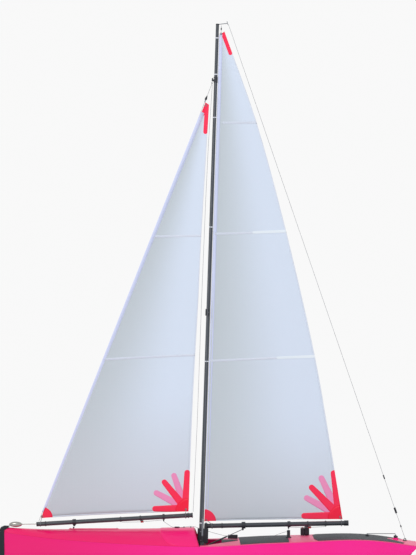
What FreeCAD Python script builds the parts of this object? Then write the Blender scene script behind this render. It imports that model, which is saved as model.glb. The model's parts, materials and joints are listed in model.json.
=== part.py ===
"""A radio-controlled racing yacht about a metre long, as separate pieces.

Frame: +X aft, +Y starboard, +Z up, millimetres.  The origin is on the centreline,
under the canoe body where the keel fin enters it.
"""
import FreeCAD, Part
import Sketcher
import math
import os
from FreeCAD import Placement, Rotation, Vector

doc = FreeCAD.newDocument("rc_sailboat")

# ---------------------------------------------------------------- driving sizes
SIZES = [
    ("hull_length", 1000), ("fin_station", 530), ("skin", 1.6), ("joint_gap", 0.3),
    ("rake", 1.84), ("mast_length", 1253), ("mast_dia", 10.8), ("mast_tip_dia", 7.8),
    ("mast_foot_x", -48), ("mast_foot_z", 92), ("mast_wall", 0.9),
    ("swing_offset", 11), ("pin_dia", 3), ("boom_dia", 11), ("jib_boom_dia", 10.4),
    ("tube_wall", 0.8), ("wire_dia", 0.8), ("line_dia", 0.8), ("sail_thickness", 0.8),
    ("fin_chord", 85), ("fin_thickness", 6.4), ("fin_tip_chord", 68), ("fin_depth", 330),
    ("bulb_length", 280), ("bulb_dia", 36), ("bulb_centre_z", -344),
    ("rudder_x", 418), ("stock_dia", 4), ("tiller_radius", 14), ("horn_x", 350),
    ("tiller_z", 119.4), ("horn_z", 124.4), ("blade_chord", 62), ("blade_depth", 186),
    ("blade_thickness", 5.6), ("winch_x", 112), ("drum_dia", 38), ("tray_z", 45),
    ("switch_x", 203), ("switch_y", 52), ("button_travel", 1.5),
    ("weight_length", 31.5), ("weight_dia", 13), ("deck_camber", 2.2), ("patch", 0.5),
]
sheet = doc.addObject("Spreadsheet::Sheet", "Sizes")
for row, (alias, number) in enumerate(SIZES, 1):
    sheet.set("A%d" % row, alias)
    sheet.set("B%d" % row, str(number))
    sheet.setAlias("B%d" % row, alias)
doc.recompute()

sub_parts = []


def size(alias):
    """A driving size, read back from the sheet."""
    return float(getattr(sheet, alias))


def keep(piece):
    """Marks an object as a sub-part that is written to a file of its own."""
    sub_parts.append(piece)
    return piece


def shaped(label, shape):
    """A sub-part whose surface is free-form, so that its Shape is set directly."""
    piece = doc.addObject("Part::Feature", label)
    piece.Label = label
    piece.Shape = shape
    return piece


def aim(start, end):
    """The placement that turns a local Z axis from start towards end."""
    return Placement(start, Rotation(Vector(0, 0, 1), end.sub(start)))


def rod(label, radius, start, end):
    """A round bar between two points; radius is an expression on the sheet."""
    bar = doc.addObject("Part::Cylinder", label)
    bar.Label = label
    bar.setExpression("Radius", radius)
    bar.Height = end.sub(start).Length
    bar.Placement = aim(start, end)
    return bar


def tube(label, outer, inner, start, end):
    """A round tube; both radii are expressions on the sheet."""
    solid = rod(label + "_outer", outer, start, end)
    hole = rod(label + "_hole", inner, start, end)
    return cut(label, solid, hole)


def block(label, centre, length, width, height, turn=None):
    """A rectangular block round its centre; the three sizes are expressions."""
    box = doc.addObject("Part::Box", label)
    box.Label = label
    box.setExpression("Length", length)
    box.setExpression("Width", width)
    box.setExpression("Height", height)
    doc.recompute([box])
    turn = turn or Rotation()
    corner = Vector(box.Length.Value / 2, box.Width.Value / 2, box.Height.Value / 2)
    box.Placement = Placement(centre.sub(turn.multVec(corner)), turn)
    return box


def cut(label, base, tool):
    result = doc.addObject("Part::Cut", label)
    result.Label = label
    result.Base = base
    result.Tool = tool
    return result


def fuse(label, *shapes):
    result = doc.addObject("Part::MultiFuse", label)
    result.Label = label
    result.Shapes = list(shapes)
    return result


def group(label, *members):
    """Several separate solids of one kind that share a node."""
    result = doc.addObject("Part::Compound", label)
    result.Label = label
    result.Links = list(members)
    return result


def rounded(label, base, radius):
    """Every edge of the base rounded by the same radius."""
    doc.recompute()
    result = doc.addObject("Part::Fillet", label)
    result.Label = label
    result.Base = base
    result.Edges = [(i + 1, radius, radius) for i in range(len(base.Shape.Edges))]
    return result


def line_tube(points, radius, bend):
    """A line led over several points: straight runs joined by arcs of one radius."""
    edges = []
    here = points[0]
    for before, corner, after in zip(points, points[1:], points[2:]):
        arriving = corner.sub(before).normalize()
        leaving = after.sub(corner).normalize()
        turn = arriving.getAngle(leaving)
        reach = bend * math.tan(turn / 2)
        first = corner.sub(arriving * reach)
        last = corner.add(leaving * reach)
        inward = leaving.sub(arriving).normalize()
        middle = corner.add(inward * (bend / math.cos(turn / 2) - bend))
        edges.append(Part.LineSegment(here, first).toShape())
        edges.append(Part.Arc(first, middle, last).toShape())
        here = last
    edges.append(Part.LineSegment(here, points[-1]).toShape())
    path = Part.Wire(edges)
    ring = Part.Wire(Part.Circle(points[0], points[1].sub(points[0]), radius).toShape())
    return path.makePipeShell([ring], True, False)


# ------------------------------------------------------- PartDesign small helpers
def new_body(label):
    body = doc.addObject("PartDesign::Body", label)
    body.Label = label
    return body


def new_sketch(body, role, name):
    plane = next(part for part in body.Origin.OriginFeatures if part.Role == role)
    sketch = body.newObject("Sketcher::SketchObject", name)
    sketch.AttachmentSupport = (plane, [""])
    sketch.MapMode = "FlatFace"
    return sketch


def rectangle(sketch, width, height):
    """A rectangle centred on the sketch origin, held by two driving constraints."""
    corners = [Vector(-5, -5), Vector(5, -5), Vector(5, 5), Vector(-5, 5)]
    for i in range(4):
        sketch.addGeometry(Part.LineSegment(corners[i], corners[(i + 1) % 4]), False)
    for i in range(4):
        sketch.addConstraint(Sketcher.Constraint("Coincident", i, 2, (i + 1) % 4, 1))
    for i, way in enumerate(["Horizontal", "Vertical"] * 2):
        sketch.addConstraint(Sketcher.Constraint(way, i))
    sketch.addConstraint(Sketcher.Constraint("Symmetric", 0, 1, 1, 2, -1, 1))
    for edge, expression in ((0, width), (1, height)):
        index = sketch.addConstraint(Sketcher.Constraint("Distance", edge, 10))
        sketch.setExpression("Constraints[%d]" % index, expression)


def hole_circle(sketch, radius, x):
    """A circle on the sketch's horizontal axis, x from the origin."""
    circle = sketch.addGeometry(Part.Circle(Vector(x, 0), Vector(0, 0, 1), 2), False)
    index = sketch.addConstraint(Sketcher.Constraint("Radius", circle, 2))
    sketch.setExpression("Constraints[%d]" % index, radius)
    sketch.addConstraint(Sketcher.Constraint("DistanceX", circle, 3, x))
    sketch.addConstraint(Sketcher.Constraint("DistanceY", circle, 3, 0))


def pad(body, sketch, length, name):
    feature = body.newObject("PartDesign::Pad", name)
    feature.Profile = sketch
    feature.setExpression("Length", length)
    return feature


def turned(label, outline, role="XZ_Plane"):
    """A piece turned on a lathe: a closed half outline spun about the sketch's Y axis."""
    body = new_body(label)
    sketch = new_sketch(body, role, label + "_outline")
    for start, end in zip(outline, outline[1:] + outline[:1]):
        sketch.addGeometry(Part.LineSegment(Vector(*start), Vector(*end)), False)
    count = len(outline)
    for i in range(count):
        sketch.addConstraint(Sketcher.Constraint("Coincident", i, 2, (i + 1) % count, 1))
        sketch.addConstraint(Sketcher.Constraint("Block", i))
    spin = body.newObject("PartDesign::Revolution", label + "_turned")
    spin.Profile = sketch
    spin.ReferenceAxis = (sketch, ["V_Axis"])
    spin.Angle = 360
    return body


# -------------------------------------------------------------------- hull lines
# station aft of the bow: half beam, sheer height, keel height, deck crown, fullness
HULL_LINES = [
    (8, 3.0, 132.5, 48.0, 145.0, 1.7),
    (50, 20.0, 128.5, 37.0, 141.6, 1.8),
    (100, 36.0, 123.5, 28.0, 139.4, 1.95),
    (200, 58.0, 116.5, 15.5, 139.4, 2.15),
    (300, 72.0, 111.5, 7.0, 139.8, 2.3),
    (400, 80.0, 107.5, 2.0, 141.0, 2.45),
    (500, 84.0, 106.3, 0.0, 142.8, 2.5),
    (600, 84.0, 111.0, 1.0, 144.5, 2.5),
    (700, 81.0, 115.0, 9.0, 146.0, 2.5),
    (800, 75.0, 119.3, 22.0, 147.0, 2.5),
    (900, 66.0, 117.0, 40.0, 146.0, 2.5),
    (1004, 54.5, 102.6, 80.0, 145.0, 2.5),
]
HALF_SECTION = 7
BOW_X = -size("fin_station")
STERN_X = BOW_X + size("hull_length")
SKIN = size("skin")
GAP = size("joint_gap")


def hull_value(x, column):
    """A hull line at x, straight between the stations."""
    along = min(max(x - BOW_X, HULL_LINES[0][0]), HULL_LINES[-1][0])
    for low, high in zip(HULL_LINES, HULL_LINES[1:]):
        if along <= high[0]:
            part = (along - low[0]) / (high[0] - low[0])
            return low[column] + part * (high[column] - low[column])
    return HULL_LINES[-1][column]


def closed_section(first, second):
    """A section between two curves that run the same way across the hull."""
    top = Part.BSplineCurve()
    top.interpolate(first)
    bottom = Part.BSplineCurve()
    bottom.interpolate(second[::-1])
    edges = [top.toShape(), Part.LineSegment(first[-1], second[-1]).toShape(),
             bottom.toShape(), Part.LineSegment(second[0], first[0]).toShape()]
    return Part.Wire(edges)


def capped_section(points, rise):
    """A curve from gunwale to gunwale, closed straight across, rise above its ends."""
    curve = Part.BSplineCurve()
    curve.interpolate(points)
    corners = [points[-1], points[0]]
    if rise:
        lift = Vector(0, 0, rise)
        corners = [points[-1], points[-1].add(lift), points[0].add(lift), points[0]]
    edges = [curve.toShape()]
    for start, end in zip(corners, corners[1:]):
        edges.append(Part.LineSegment(start, end).toShape())
    return Part.Wire(edges)


def hull_solid(inset, rise):
    """The canoe body below the sheer, drawn in by inset and carried up by rise."""
    sections = []
    for station, beam, sheer, keel, crown, fullness in HULL_LINES:
        points = []
        half = max(beam - inset, 0.4)
        depth = sheer - keel - inset
        for i in range(-HALF_SECTION, HALF_SECTION + 1):
            angle = math.pi / 2 * (1 - abs(i) / HALF_SECTION)
            across = half * math.cos(angle) ** (2 / fullness)
            down = depth * math.sin(angle) ** (2 / fullness)
            points.append(Vector(BOW_X + station, math.copysign(across, i), sheer - down))
        sections.append(capped_section(points, rise))
    return Part.makeLoft(sections, True, False)


def arch_points(station, half, base, top):
    """The foredeck's camber from gunwale to gunwale at one station."""
    points = []
    for i in range(-5, 6):
        part = i / 5
        points.append(Vector(BOW_X + station, half * part,
                             base + (top - base) * (1 - abs(part) ** 2.4)))
    return points


def arch_solid(inset, drop):
    """Everything between the sheer and the foredeck's camber, drawn in by inset."""
    sections = []
    for station, beam, sheer, keel, crown, fullness in HULL_LINES:
        half = max(beam - inset, 0.4)
        points = arch_points(station, half, sheer, crown - inset)
        sections.append(capped_section(points, -drop))
    return Part.makeLoft(sections, True, False)


def deck_layer(low, high, inset):
    """A layer over the aft deck, from low to high above the sheer."""
    camber = size("deck_camber")
    sections = []
    for station, beam, sheer, keel, crown, fullness in HULL_LINES:
        half = beam - inset
        if half <= 0.5:
            half = 0.5
        upper, lower = [], []
        for i in range(-3, 4):
            part = i / 3
            bulge = camber * (1 - (part * half / beam) ** 2)
            upper.append(Vector(BOW_X + station, half * part, sheer + bulge + high))
            lower.append(Vector(BOW_X + station, half * part, sheer + bulge + low))
        sections.append(closed_section(upper, lower))
    return Part.makeLoft(sections, True, False)


def prism(outline, axis, low, high):
    """A straight-sided solid on a closed outline: axis "y" takes (x, z), "z" takes (x, y)."""
    if axis == "y":
        points = [Vector(a, low, b) for a, b in outline]
        way = Vector(0, high - low, 0)
    else:
        points = [Vector(a, b, low) for a, b in outline]
        way = Vector(0, 0, high - low)
    return Part.Face(Part.makePolygon(points + points[:1])).extrude(way)


def vertical_bar(x, y, low, high, radius):
    return Part.makeCylinder(radius, high - low, Vector(x, y, low))


def deck_top(x, y=0):
    """Height of the aft deck's outside."""
    across = y / hull_value(x, 1)
    bulge = size("deck_camber") * (1 - across * across)
    return hull_value(x, 2) + bulge + DECK_HIGH


DECK_LOW = 0.2
DECK_HIGH = DECK_LOW + SKIN
FOREDECK_TOP_X, FOREDECK_FOOT_X = -64.0, -50.5
BULKHEAD_SET_BACK = 8.0
WELL_FRONT, WELL_BACK, WELL_WIDE, WELL_NARROW = -50.0, 36.0, 72.0, 9.0
WELL_FLOOR = 86.0
WELL_OUTLINE = [(WELL_FRONT - 2, -WELL_WIDE), (WELL_FRONT + 16, -WELL_WIDE + 3),
                (WELL_BACK, -WELL_NARROW), (WELL_BACK, WELL_NARROW),
                (WELL_FRONT + 16, WELL_WIDE - 3), (WELL_FRONT - 2, WELL_WIDE)]
RUDDER_X = size("rudder_x")
HORN_X = size("horn_x")
TRANSOM_CUT = [(STERN_X + 0.5, 106), (STERN_X - 60, 45.5), (STERN_X + 80, 45.5), (STERN_X + 80, 106)]
BUNG_AT = Vector(STERN_X - 21, -22, 83.5)
TRANSOM_NORMAL = Vector(1, 0, -1).normalize()


def transom(shift):
    """What the raked transom cuts away, moved forward by shift."""
    return prism([(x - shift, z) for x, z in TRANSOM_CUT], "y", -120, 120)


# ---------------------------------------------------------------- hull and decks
hull_outside = hull_solid(0, 0).cut(transom(0)).cut(
    prism([(STERN_X, 60), (STERN_X + 60, 60), (STERN_X + 60, 160), (STERN_X, 160)], "y", -120, 120))
nose_block = prism([(BOW_X - 20, 20), (BOW_X + 12, 20), (BOW_X + 12, 160), (BOW_X - 20, 160)],
                   "y", -60, 60)
hull_inside = hull_solid(SKIN, 30).cut(transom(2.3)).cut(nose_block)
fin_slot = Part.makeBox(size("fin_chord") - 18.6, size("fin_thickness") + 0.8, 40,
                        Vector(-size("fin_chord") / 2 + 9.3, -size("fin_thickness") / 2 - 0.4, -10))
rudder_hole = vertical_bar(RUDDER_X, 0, 40, 80, 3.6)
bung_hole = Part.makeCylinder(3.1, 30, BUNG_AT.sub(TRANSOM_NORMAL * 15), TRANSOM_NORMAL)
hull_shape = hull_outside.cut(hull_inside).cut(fin_slot).cut(rudder_hole).cut(bung_hole)
keep(shaped("hull_shell", hull_shape))

foredeck_zone = prism([(BOW_X - 10, 60), (FOREDECK_FOOT_X, 60), (FOREDECK_FOOT_X, 104),
                       (FOREDECK_TOP_X, 145), (FOREDECK_TOP_X - 4, 165), (BOW_X - 10, 165)],
                      "y", -120, 120)
foredeck = arch_solid(0, 0).cut(arch_solid(SKIN, 3).cut(nose_block)).common(foredeck_zone)
foredeck.translate(Vector(0, 0, DECK_LOW))
keep(shaped("foredeck", foredeck))

inside = arch_solid(SKIN + GAP, 3)
below = hull_solid(SKIN + GAP, 0)
wall_foot = FOREDECK_FOOT_X - BULKHEAD_SET_BACK
wall_top = FOREDECK_TOP_X - BULKHEAD_SET_BACK
bulkhead_slab = prism([(wall_foot - 2, WELL_FLOOR + 0.3), (wall_foot, WELL_FLOOR + 0.3),
                       (wall_foot, 104), (wall_top, 145), (wall_top - 2, 151),
                       (wall_top - 4, 151), (wall_top - 2, 145), (wall_foot - 2, 104)],
                      "y", -120, 120)
upper_half = bulkhead_slab.common(inside)
lower_half = bulkhead_slab.common(below)
keep(shaped("foredeck_bulkhead", upper_half.fuse(lower_half)))

nose = prism([(BOW_X, 56), (BOW_X + 16, 52), (BOW_X + 16, 139), (BOW_X + 22, 143.5),
              (BOW_X + 26, 147.4), (BOW_X + 12, 148), (BOW_X + 5, 145), (BOW_X + 1.2, 139)],
             "y", -5.6, 5.6)
nose = nose.makeFillet(3.4, [edge for edge in nose.Edges
                             if edge.BoundBox.XMax < BOW_X + 13 and edge.BoundBox.YLength < 1])
nose = nose.cut(Part.makeBox(60, 40, 200, Vector(BOW_X + 13, -20, 0)).common(
    prism([(BOW_X + 13, 0), (BOW_X + 60, 0), (BOW_X + 60, 143.0), (BOW_X + 13, 139)], "y", -20, 20)))
hull_envelope = hull_solid(-0.15, 0).fuse(arch_solid(-0.35, 2))
nose = nose.cut(hull_envelope)
nose = max(nose.Solids, key=lambda solid: solid.Volume)
keep(shaped("bow_bumper", nose))

deck_zone = Part.makeBox(STERN_X - FOREDECK_FOOT_X - 0.6, 240, 120, Vector(FOREDECK_FOOT_X + 0.6, -120, 60))
well_hole = prism(WELL_OUTLINE, "z", 60, 160)
deck_holes = [vertical_bar(RUDDER_X, 0, 90, 130, 6.3), vertical_bar(HORN_X, 0, 100, 130, 3.4)]
aft_deck = deck_layer(DECK_LOW, DECK_HIGH, 0).common(deck_zone).cut(well_hole).cut(transom(0))
for hole in deck_holes:
    aft_deck = aft_deck.cut(hole)
keep(shaped("aft_deck", aft_deck))

well_wall = 1.4
well_rim = deck_layer(DECK_LOW - 40, DECK_LOW - 0.15, 0)
outer_outline = [(WELL_FRONT + 0.4, -WELL_WIDE - 1), (WELL_FRONT + 16.6, -WELL_WIDE + 1.6),
                 (WELL_BACK + well_wall, -WELL_NARROW - 1), (WELL_BACK + well_wall, WELL_NARROW + 1),
                 (WELL_FRONT + 16.6, WELL_WIDE - 1.6), (WELL_FRONT + 0.4, WELL_WIDE + 1)]
tub_walls = prism(outer_outline, "z", WELL_FLOOR, 130).cut(prism(WELL_OUTLINE, "z", WELL_FLOOR - 1, 131))
tub_walls = tub_walls.common(well_rim)
tub_floor = prism([(wall_foot - 4, -100), (WELL_BACK + well_wall, -100),
                   (WELL_BACK + well_wall, 100), (wall_foot - 4, 100)], "z",
                  WELL_FLOOR - 1.6, WELL_FLOOR).common(below)
tub = tub_floor.fuse(tub_walls).cut(vertical_bar(-23, 0, 80, 90, 2.2)).removeSplitter()
keep(shaped("mast_well", tub))

patch_layer = deck_layer(DECK_HIGH + 0.05, DECK_HIGH + 0.05 + size("patch"), 1.5)
front_patch = patch_layer.common(prism([(47, -110), (161, -110), (161, 110), (42, 110)], "z", 90, 150))
rear_half = [(221, 46), (228, 70), (240, 100), (424, 100), (435, 40), (398, 10)]
rear_outline = rear_half + [(x, -y) for x, y in reversed(rear_half)]
rear_patch = patch_layer.common(prism(rear_outline, "z", 90, 150))
for hole in deck_holes:
    rear_patch = rear_patch.cut(hole)
hatch = patch_layer.common(prism([(2, -38), (WELL_BACK + 5, -8), (WELL_BACK + 5, 8), (2, 38)],
                                 "z", 90, 150))
keep(shaped("deck_patches", Part.makeCompound([front_patch, rear_patch, hatch])))

# ------------------------------------------------------------------ keel and bulb
FIN_T = size("fin_thickness")


def foil(chord, thickness, lead_x, z):
    """A symmetric foil section, blunt in front and sharp behind."""
    points = []
    for i in range(9):
        part = (1 - math.cos(math.pi * i / 8)) / 2
        half = thickness / 2 * 4 * (math.sqrt(part) - part) * 0.92 + 0.25
        if i == 0:
            half = 0
        points.append(Vector(lead_x + chord * part, half, z))
    lower = [Vector(point.x, -point.y, point.z) for point in points]
    curve = Part.BSplineCurve()
    curve.interpolate(lower[:0:-1] + points)
    tail = Part.LineSegment(points[-1], lower[-1]).toShape()
    return Part.Wire([curve.toShape(), tail])


chord, tip = size("fin_chord"), size("fin_tip_chord")
fin_sections = [foil(chord, FIN_T, -chord / 2, -0.8), foil(tip, FIN_T, -tip / 2 + 3, -size("fin_depth"))]
fin = Part.makeLoft(fin_sections, True, True)
fin_head = Part.makeBox(chord - 20, FIN_T, 46.8, Vector(-chord / 2 + 10, -FIN_T / 2, -2.8))
fin_tang = Part.makeBox(40, 4.4, 12, Vector(-20, -2.2, -size("fin_depth") - 11))
fin = fin.fuse(fin_head).fuse(fin_tang).cut(vertical_bar(-23, 0, 20, 50, 1.55))
fin = fin.cut(vertical_bar(0, 0, -350, -328, 1.3)).removeSplitter()
keep(shaped("keel_fin", fin))

case_outer = block("case_outer", Vector(0, 0, 31), "Sizes.fin_chord - 12", "Sizes.fin_thickness + 5", "58")
case_inner = block("case_inner", Vector(0, 0, 20), "Sizes.fin_chord - 19.4",
                   "Sizes.fin_thickness + 0.4", "50")
case_stud = rod("case_stud_hole", "1.6", Vector(-23, 0, 40), Vector(-23, 0, 70))
case_trim = shaped("case_trim", hull_solid(-5, 0).cut(below))
case_hollow = cut("case_hollow", cut("case_sides", case_outer, case_inner), case_stud)
fin_case = cut("fin_case", case_hollow, case_trim)
keep(fin_case)

BULB_Z = size("bulb_centre_z")
half_bulb, bulb_r = size("bulb_length") / 2, size("bulb_dia") / 2
bulb_outline = []
for i in range(13):
    part = (1 - math.cos(math.pi * i / 12)) / 2
    radius = bulb_r * 4 * (math.sqrt(part) - part)
    bulb_outline.append(Vector(2 * half_bulb * part - half_bulb, 0, radius))
bulb_curve = Part.BSplineCurve()
bulb_curve.interpolate(bulb_outline)
bulb_axis = Part.LineSegment(bulb_outline[-1], bulb_outline[0]).toShape()
bulb = Part.Face(Part.Wire([bulb_curve.toShape(), bulb_axis])).revolve(Vector(), Vector(1, 0, 0), 360)
bulb.translate(Vector(0, 0, BULB_Z))
bulb = bulb.cut(Part.makeBox(40.6, 5, 30, Vector(-20.3, -2.5, BULB_Z + 2.8)))
bulb = bulb.cut(Part.makeBox(90, 12, 16, Vector(-45, -6, -size("fin_depth") - 0.2)))
bulb = bulb.cut(vertical_bar(0, 0, BULB_Z - 20, BULB_Z + 4, 1.6))
bulb = bulb.cut(vertical_bar(0, 0, BULB_Z - 20, BULB_Z - 12, 3.2))
keep(shaped("bulb", bulb))
screw_head = rod("bulb_screw_head", "2.8", Vector(0, 0, BULB_Z - 15), Vector(0, 0, BULB_Z - 12.1))
screw_shank = rod("bulb_screw_shank", "1.2", Vector(0, 0, BULB_Z - 12.1), Vector(0, 0, BULB_Z + 13))
keep(fuse("bulb_screw", screw_head, screw_shank))

stud = rod("fin_stud", "1.5", Vector(-23, 0, 24), Vector(-23, 0, 92))
knurl = turned("fin_knurl", [(1.5, 0), (6, 0), (6, 4.6), (5, 5.4), (1.5, 5.4)])
knurl.Placement = Placement(Vector(-23, 0, WELL_FLOOR + 0.1), Rotation())
keep(fuse("fin_nut", stud, knurl))

# ------------------------------------------------------------------ mast and rig
MAST_FOOT = Vector(size("mast_foot_x"), 0, size("mast_foot_z"))
mast_turn = Rotation(Vector(0, 1, 0), size("rake"))
mast_frame = Placement(MAST_FOOT, mast_turn)
MAST_LEN = size("mast_length")


def on_mast(along, aft=0.0, side=0.0):
    """A point in the mast's own frame: along it, aft of its axis, to starboard."""
    return mast_frame.multVec(Vector(aft, side, along))


def mast_radius(along):
    part = along / MAST_LEN
    return (size("mast_dia") * (1 - part) + size("mast_tip_dia") * part) / 2


def mast_piece(piece, along=0.0, aft=0.0, side=0.0):
    piece.Placement = Placement(on_mast(along, aft, side), mast_turn)
    return piece


mast_outside = doc.addObject("Part::Cone", "mast_outside")
mast_outside.setExpression("Radius1", "Sizes.mast_dia / 2")
mast_outside.setExpression("Radius2", "Sizes.mast_tip_dia / 2")
mast_outside.setExpression("Height", "Sizes.mast_length")
mast_inside = doc.addObject("Part::Cone", "mast_inside")
mast_inside.setExpression("Radius1", "Sizes.mast_dia / 2 - Sizes.mast_wall")
mast_inside.setExpression("Radius2", "Sizes.mast_tip_dia / 2 - Sizes.mast_wall")
mast_inside.setExpression("Height", "Sizes.mast_length")
keep(mast_piece(cut("mast_tube", mast_outside, mast_inside)))

step_base = block("step_base", Vector(MAST_FOOT.x - 0.4, 0, WELL_FLOOR + 1.6), "16", "20", "3")
step_peg = rod("step_peg", "Sizes.mast_dia / 2 - Sizes.mast_wall - 0.3", on_mast(-4.4), on_mast(7))
step_flat = shaped("step_flat", prism([(-80, 60), (-20, 60),
                                       (-20, WELL_FLOOR + 0.1), (-80, WELL_FLOOR + 0.1)],
                                      "y", -30, 30))
keep(cut("mast_step", fuse("step_blank", step_base, step_peg), step_flat))

gooseneck = new_body("gooseneck_bracket")
outline = new_sketch(gooseneck, "XY_Plane", "bracket_outline")
rectangle(outline, "Sizes.mast_dia + 15", "Sizes.mast_dia + 6")
bracket_pad = pad(gooseneck, outline, "34", "bracket_pad")
doc.recompute()
rounding = gooseneck.newObject("PartDesign::Fillet", "bracket_rounding")
rounding.Base = (bracket_pad, ["Edge%d" % (i + 1) for i, edge in enumerate(bracket_pad.Shape.Edges)
                               if edge.BoundBox.ZLength > 30])
rounding.Radius = 2.5
doc.recompute()
bores = new_sketch(gooseneck, "XY_Plane", "bracket_bores")
hole_circle(bores, "Sizes.mast_dia / 2 + 0.02", -4)
hole_circle(bores, "Sizes.pin_dia / 2 + 0.02", 7)
bore_cut = gooseneck.newObject("PartDesign::Pocket", "bracket_bore_cut")
bore_cut.Profile = bores
bore_cut.Type = "ThroughAll"
bore_cut.Reversed = True
doc.recompute()
keep(mast_piece(gooseneck, 15, 4))

SWING = size("swing_offset")
pin_shaft = rod("pin_shaft", "Sizes.pin_dia / 2", on_mast(2, SWING), on_mast(62, SWING))
pin_head = rod("pin_head", "Sizes.pin_dia", on_mast(61.4, SWING), on_mast(63.4, SWING))
pin_nut = rod("pin_nut", "Sizes.pin_dia - 0.2", on_mast(0.5, SWING), on_mast(3, SWING))
keep(fuse("gooseneck_pin", pin_shaft, pin_head, pin_nut))

plug_body = rod("plug_body", "Sizes.mast_tip_dia / 2 - Sizes.mast_wall - 0.05",
                on_mast(MAST_LEN - 20), on_mast(MAST_LEN + 1))
plug_cap = rod("plug_cap", "Sizes.mast_tip_dia / 2", on_mast(MAST_LEN + 0.05), on_mast(MAST_LEN + 3))
plug_bore = rod("plug_bore", "1.05", on_mast(MAST_LEN - 9), on_mast(MAST_LEN + 4))
CRANE_ROOT, CRANE_TIP = on_mast(MAST_LEN + 1.6, 2), Vector(16.6, 0, 1348.6)
plug_side = rod("plug_side", "0.95", CRANE_ROOT, CRANE_TIP)
keep(cut("masthead_plug", cut("plug_bored", fuse("plug_solid", plug_body, plug_cap), plug_bore), plug_side))

crane_way = CRANE_TIP.sub(CRANE_ROOT).normalize()
crane_arm = rod("crane_arm", "0.9", CRANE_ROOT.add(crane_way * 0.1), CRANE_TIP)
crane_prong = rod("crane_prong", "0.7", CRANE_TIP.add(Vector(0.4, 0, -4)), CRANE_TIP.add(Vector(-1.5, 0, 5)))
keep(fuse("masthead_crane", crane_arm, crane_prong))

HOUNDS = Vector(-18.5, 0, 1213)
hounds_at = 1122.0
hounds_band = tube("hounds_band", "Sizes.mast_tip_dia / 2 + 0.9", "Sizes.mast_tip_dia / 2 + 0.2",
                   on_mast(hounds_at - 7), on_mast(hounds_at + 7))
hounds_lug = block("hounds_lug", on_mast(hounds_at, -6.5), "6", "2.4", "8", mast_turn)
hounds_eye = rod("hounds_eye", "1.4", HOUNDS.add(Vector(1.5, -3, 3)), HOUNDS.add(Vector(1.5, 3, 3)))
hounds_ears = block("hounds_ears", on_mast(hounds_at - 3), "5", "13.6", "3", mast_turn)
hounds_solid = fuse("hounds_solid", hounds_lug, hounds_ears, hounds_band)
hounds_core = rod("hounds_core", "Sizes.mast_tip_dia / 2 + 0.2",
                  on_mast(hounds_at - 12), on_mast(hounds_at + 12))
hounds_back = block("hounds_back", on_mast(hounds_at, 9.7), "10", "14", "30", mast_turn)
hounds_cored = cut("hounds_cored", hounds_solid, hounds_core)
keep(cut("hounds_fitting", cut("hounds_eyed", hounds_cored, hounds_eye), hounds_back))

# The spreaders hold both shrouds off the mast about half way up.
CHAIN_X, CHAIN_Y = -44.0, 77.0
SHROUD_TOP = on_mast(hounds_at - 5.5, 0, 6.0)
spread_at = 566.0
SPREAD_TIP = on_mast(spread_at, -2.0, 45.0)
SHROUD_FOOT = Vector(CHAIN_X, CHAIN_Y, 130)
CHAIN_TOP = Vector(CHAIN_X, CHAIN_Y, deck_top(CHAIN_X, CHAIN_Y) + 3)
spread_root = tube("spread_root", "Sizes.mast_dia / 2 + 1.6", "Sizes.mast_dia / 2 - 0.35",
                   on_mast(spread_at - 8), on_mast(spread_at + 8))
spread_parts = [spread_root]
for side, name in ((-1, "port"), (1, "starboard")):
    tip_point = Vector(SPREAD_TIP.x, side * (SPREAD_TIP.y - 0.9), SPREAD_TIP.z)
    start = on_mast(spread_at, -0.2, side * 5.6)
    spread_parts.append(rod("spread_arm_" + name, "1.5", start, tip_point))
spread_back = block("spread_back", on_mast(spread_at, 9.5), "14", "15", "24", mast_turn)
spread_core = rod("spread_core", "Sizes.mast_dia / 2 - 0.35",
                  on_mast(spread_at - 12), on_mast(spread_at + 12))
spread_solid = fuse("spread_solid", *spread_parts)
keep(cut("spreaders", cut("spread_opened", spread_solid, spread_back), spread_core))


def mirrored_y(point, side):
    return Vector(point.x, side * point.y, point.z)


shroud_wires, barrels, chain_parts = [], [], []
wire_r = size("wire_dia") / 2
for side, name in ((-1, "port"), (1, "starboard")):
    route = [mirrored_y(SHROUD_TOP, side), mirrored_y(SPREAD_TIP, side).add(Vector(0, side * 0.1, 0)),
             mirrored_y(SHROUD_FOOT, side)]
    shroud_wires.append(shaped("shroud_" + name, line_tube(route, wire_r, 40)))
    foot = mirrored_y(SHROUD_FOOT, side)
    top = mirrored_y(SPREAD_TIP, side)
    up = top.sub(foot).normalize()
    barrel = tube("shroud_barrel_" + name, "1.9", "Sizes.wire_dia / 2 + 0.05",
                  foot.add(up * 2), foot.add(up * 42))
    barrels.append(barrel)
    keep(barrel)
    base = mirrored_y(CHAIN_TOP, side)
    plate = block("chain_plate_" + name, base.add(Vector(0, 0, 1.2)), "9", "1.2", "6.4")
    strap = rod("chain_rod_" + name, "Sizes.wire_dia / 2 + 0.2", base.add(Vector(0, 0, 2)),
                foot.add(Vector(0, 0, -0.2)))
    chain_parts += [plate, strap]
keep(group("shrouds", *shroud_wires))

EYE_X = 440.0
eye_z = deck_top(EYE_X)
eye_base = block("eye_base", Vector(EYE_X, 0, eye_z + 1.8), "9", "7", "1.4")
eye_ring = doc.addObject("Part::Torus", "eye_ring")
eye_ring.Radius1 = 2.4
eye_ring.Radius2 = 0.8
eye_ring.Placement = Placement(Vector(EYE_X, 0, eye_z + 4.0), Rotation(Vector(1, 0, 0), 90))
keep(group("chainplates", fuse("chainplate_port", *chain_parts[:2]),
           fuse("chainplate_starboard", *chain_parts[2:]), fuse("backstay_eye", eye_base, eye_ring)))

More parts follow.
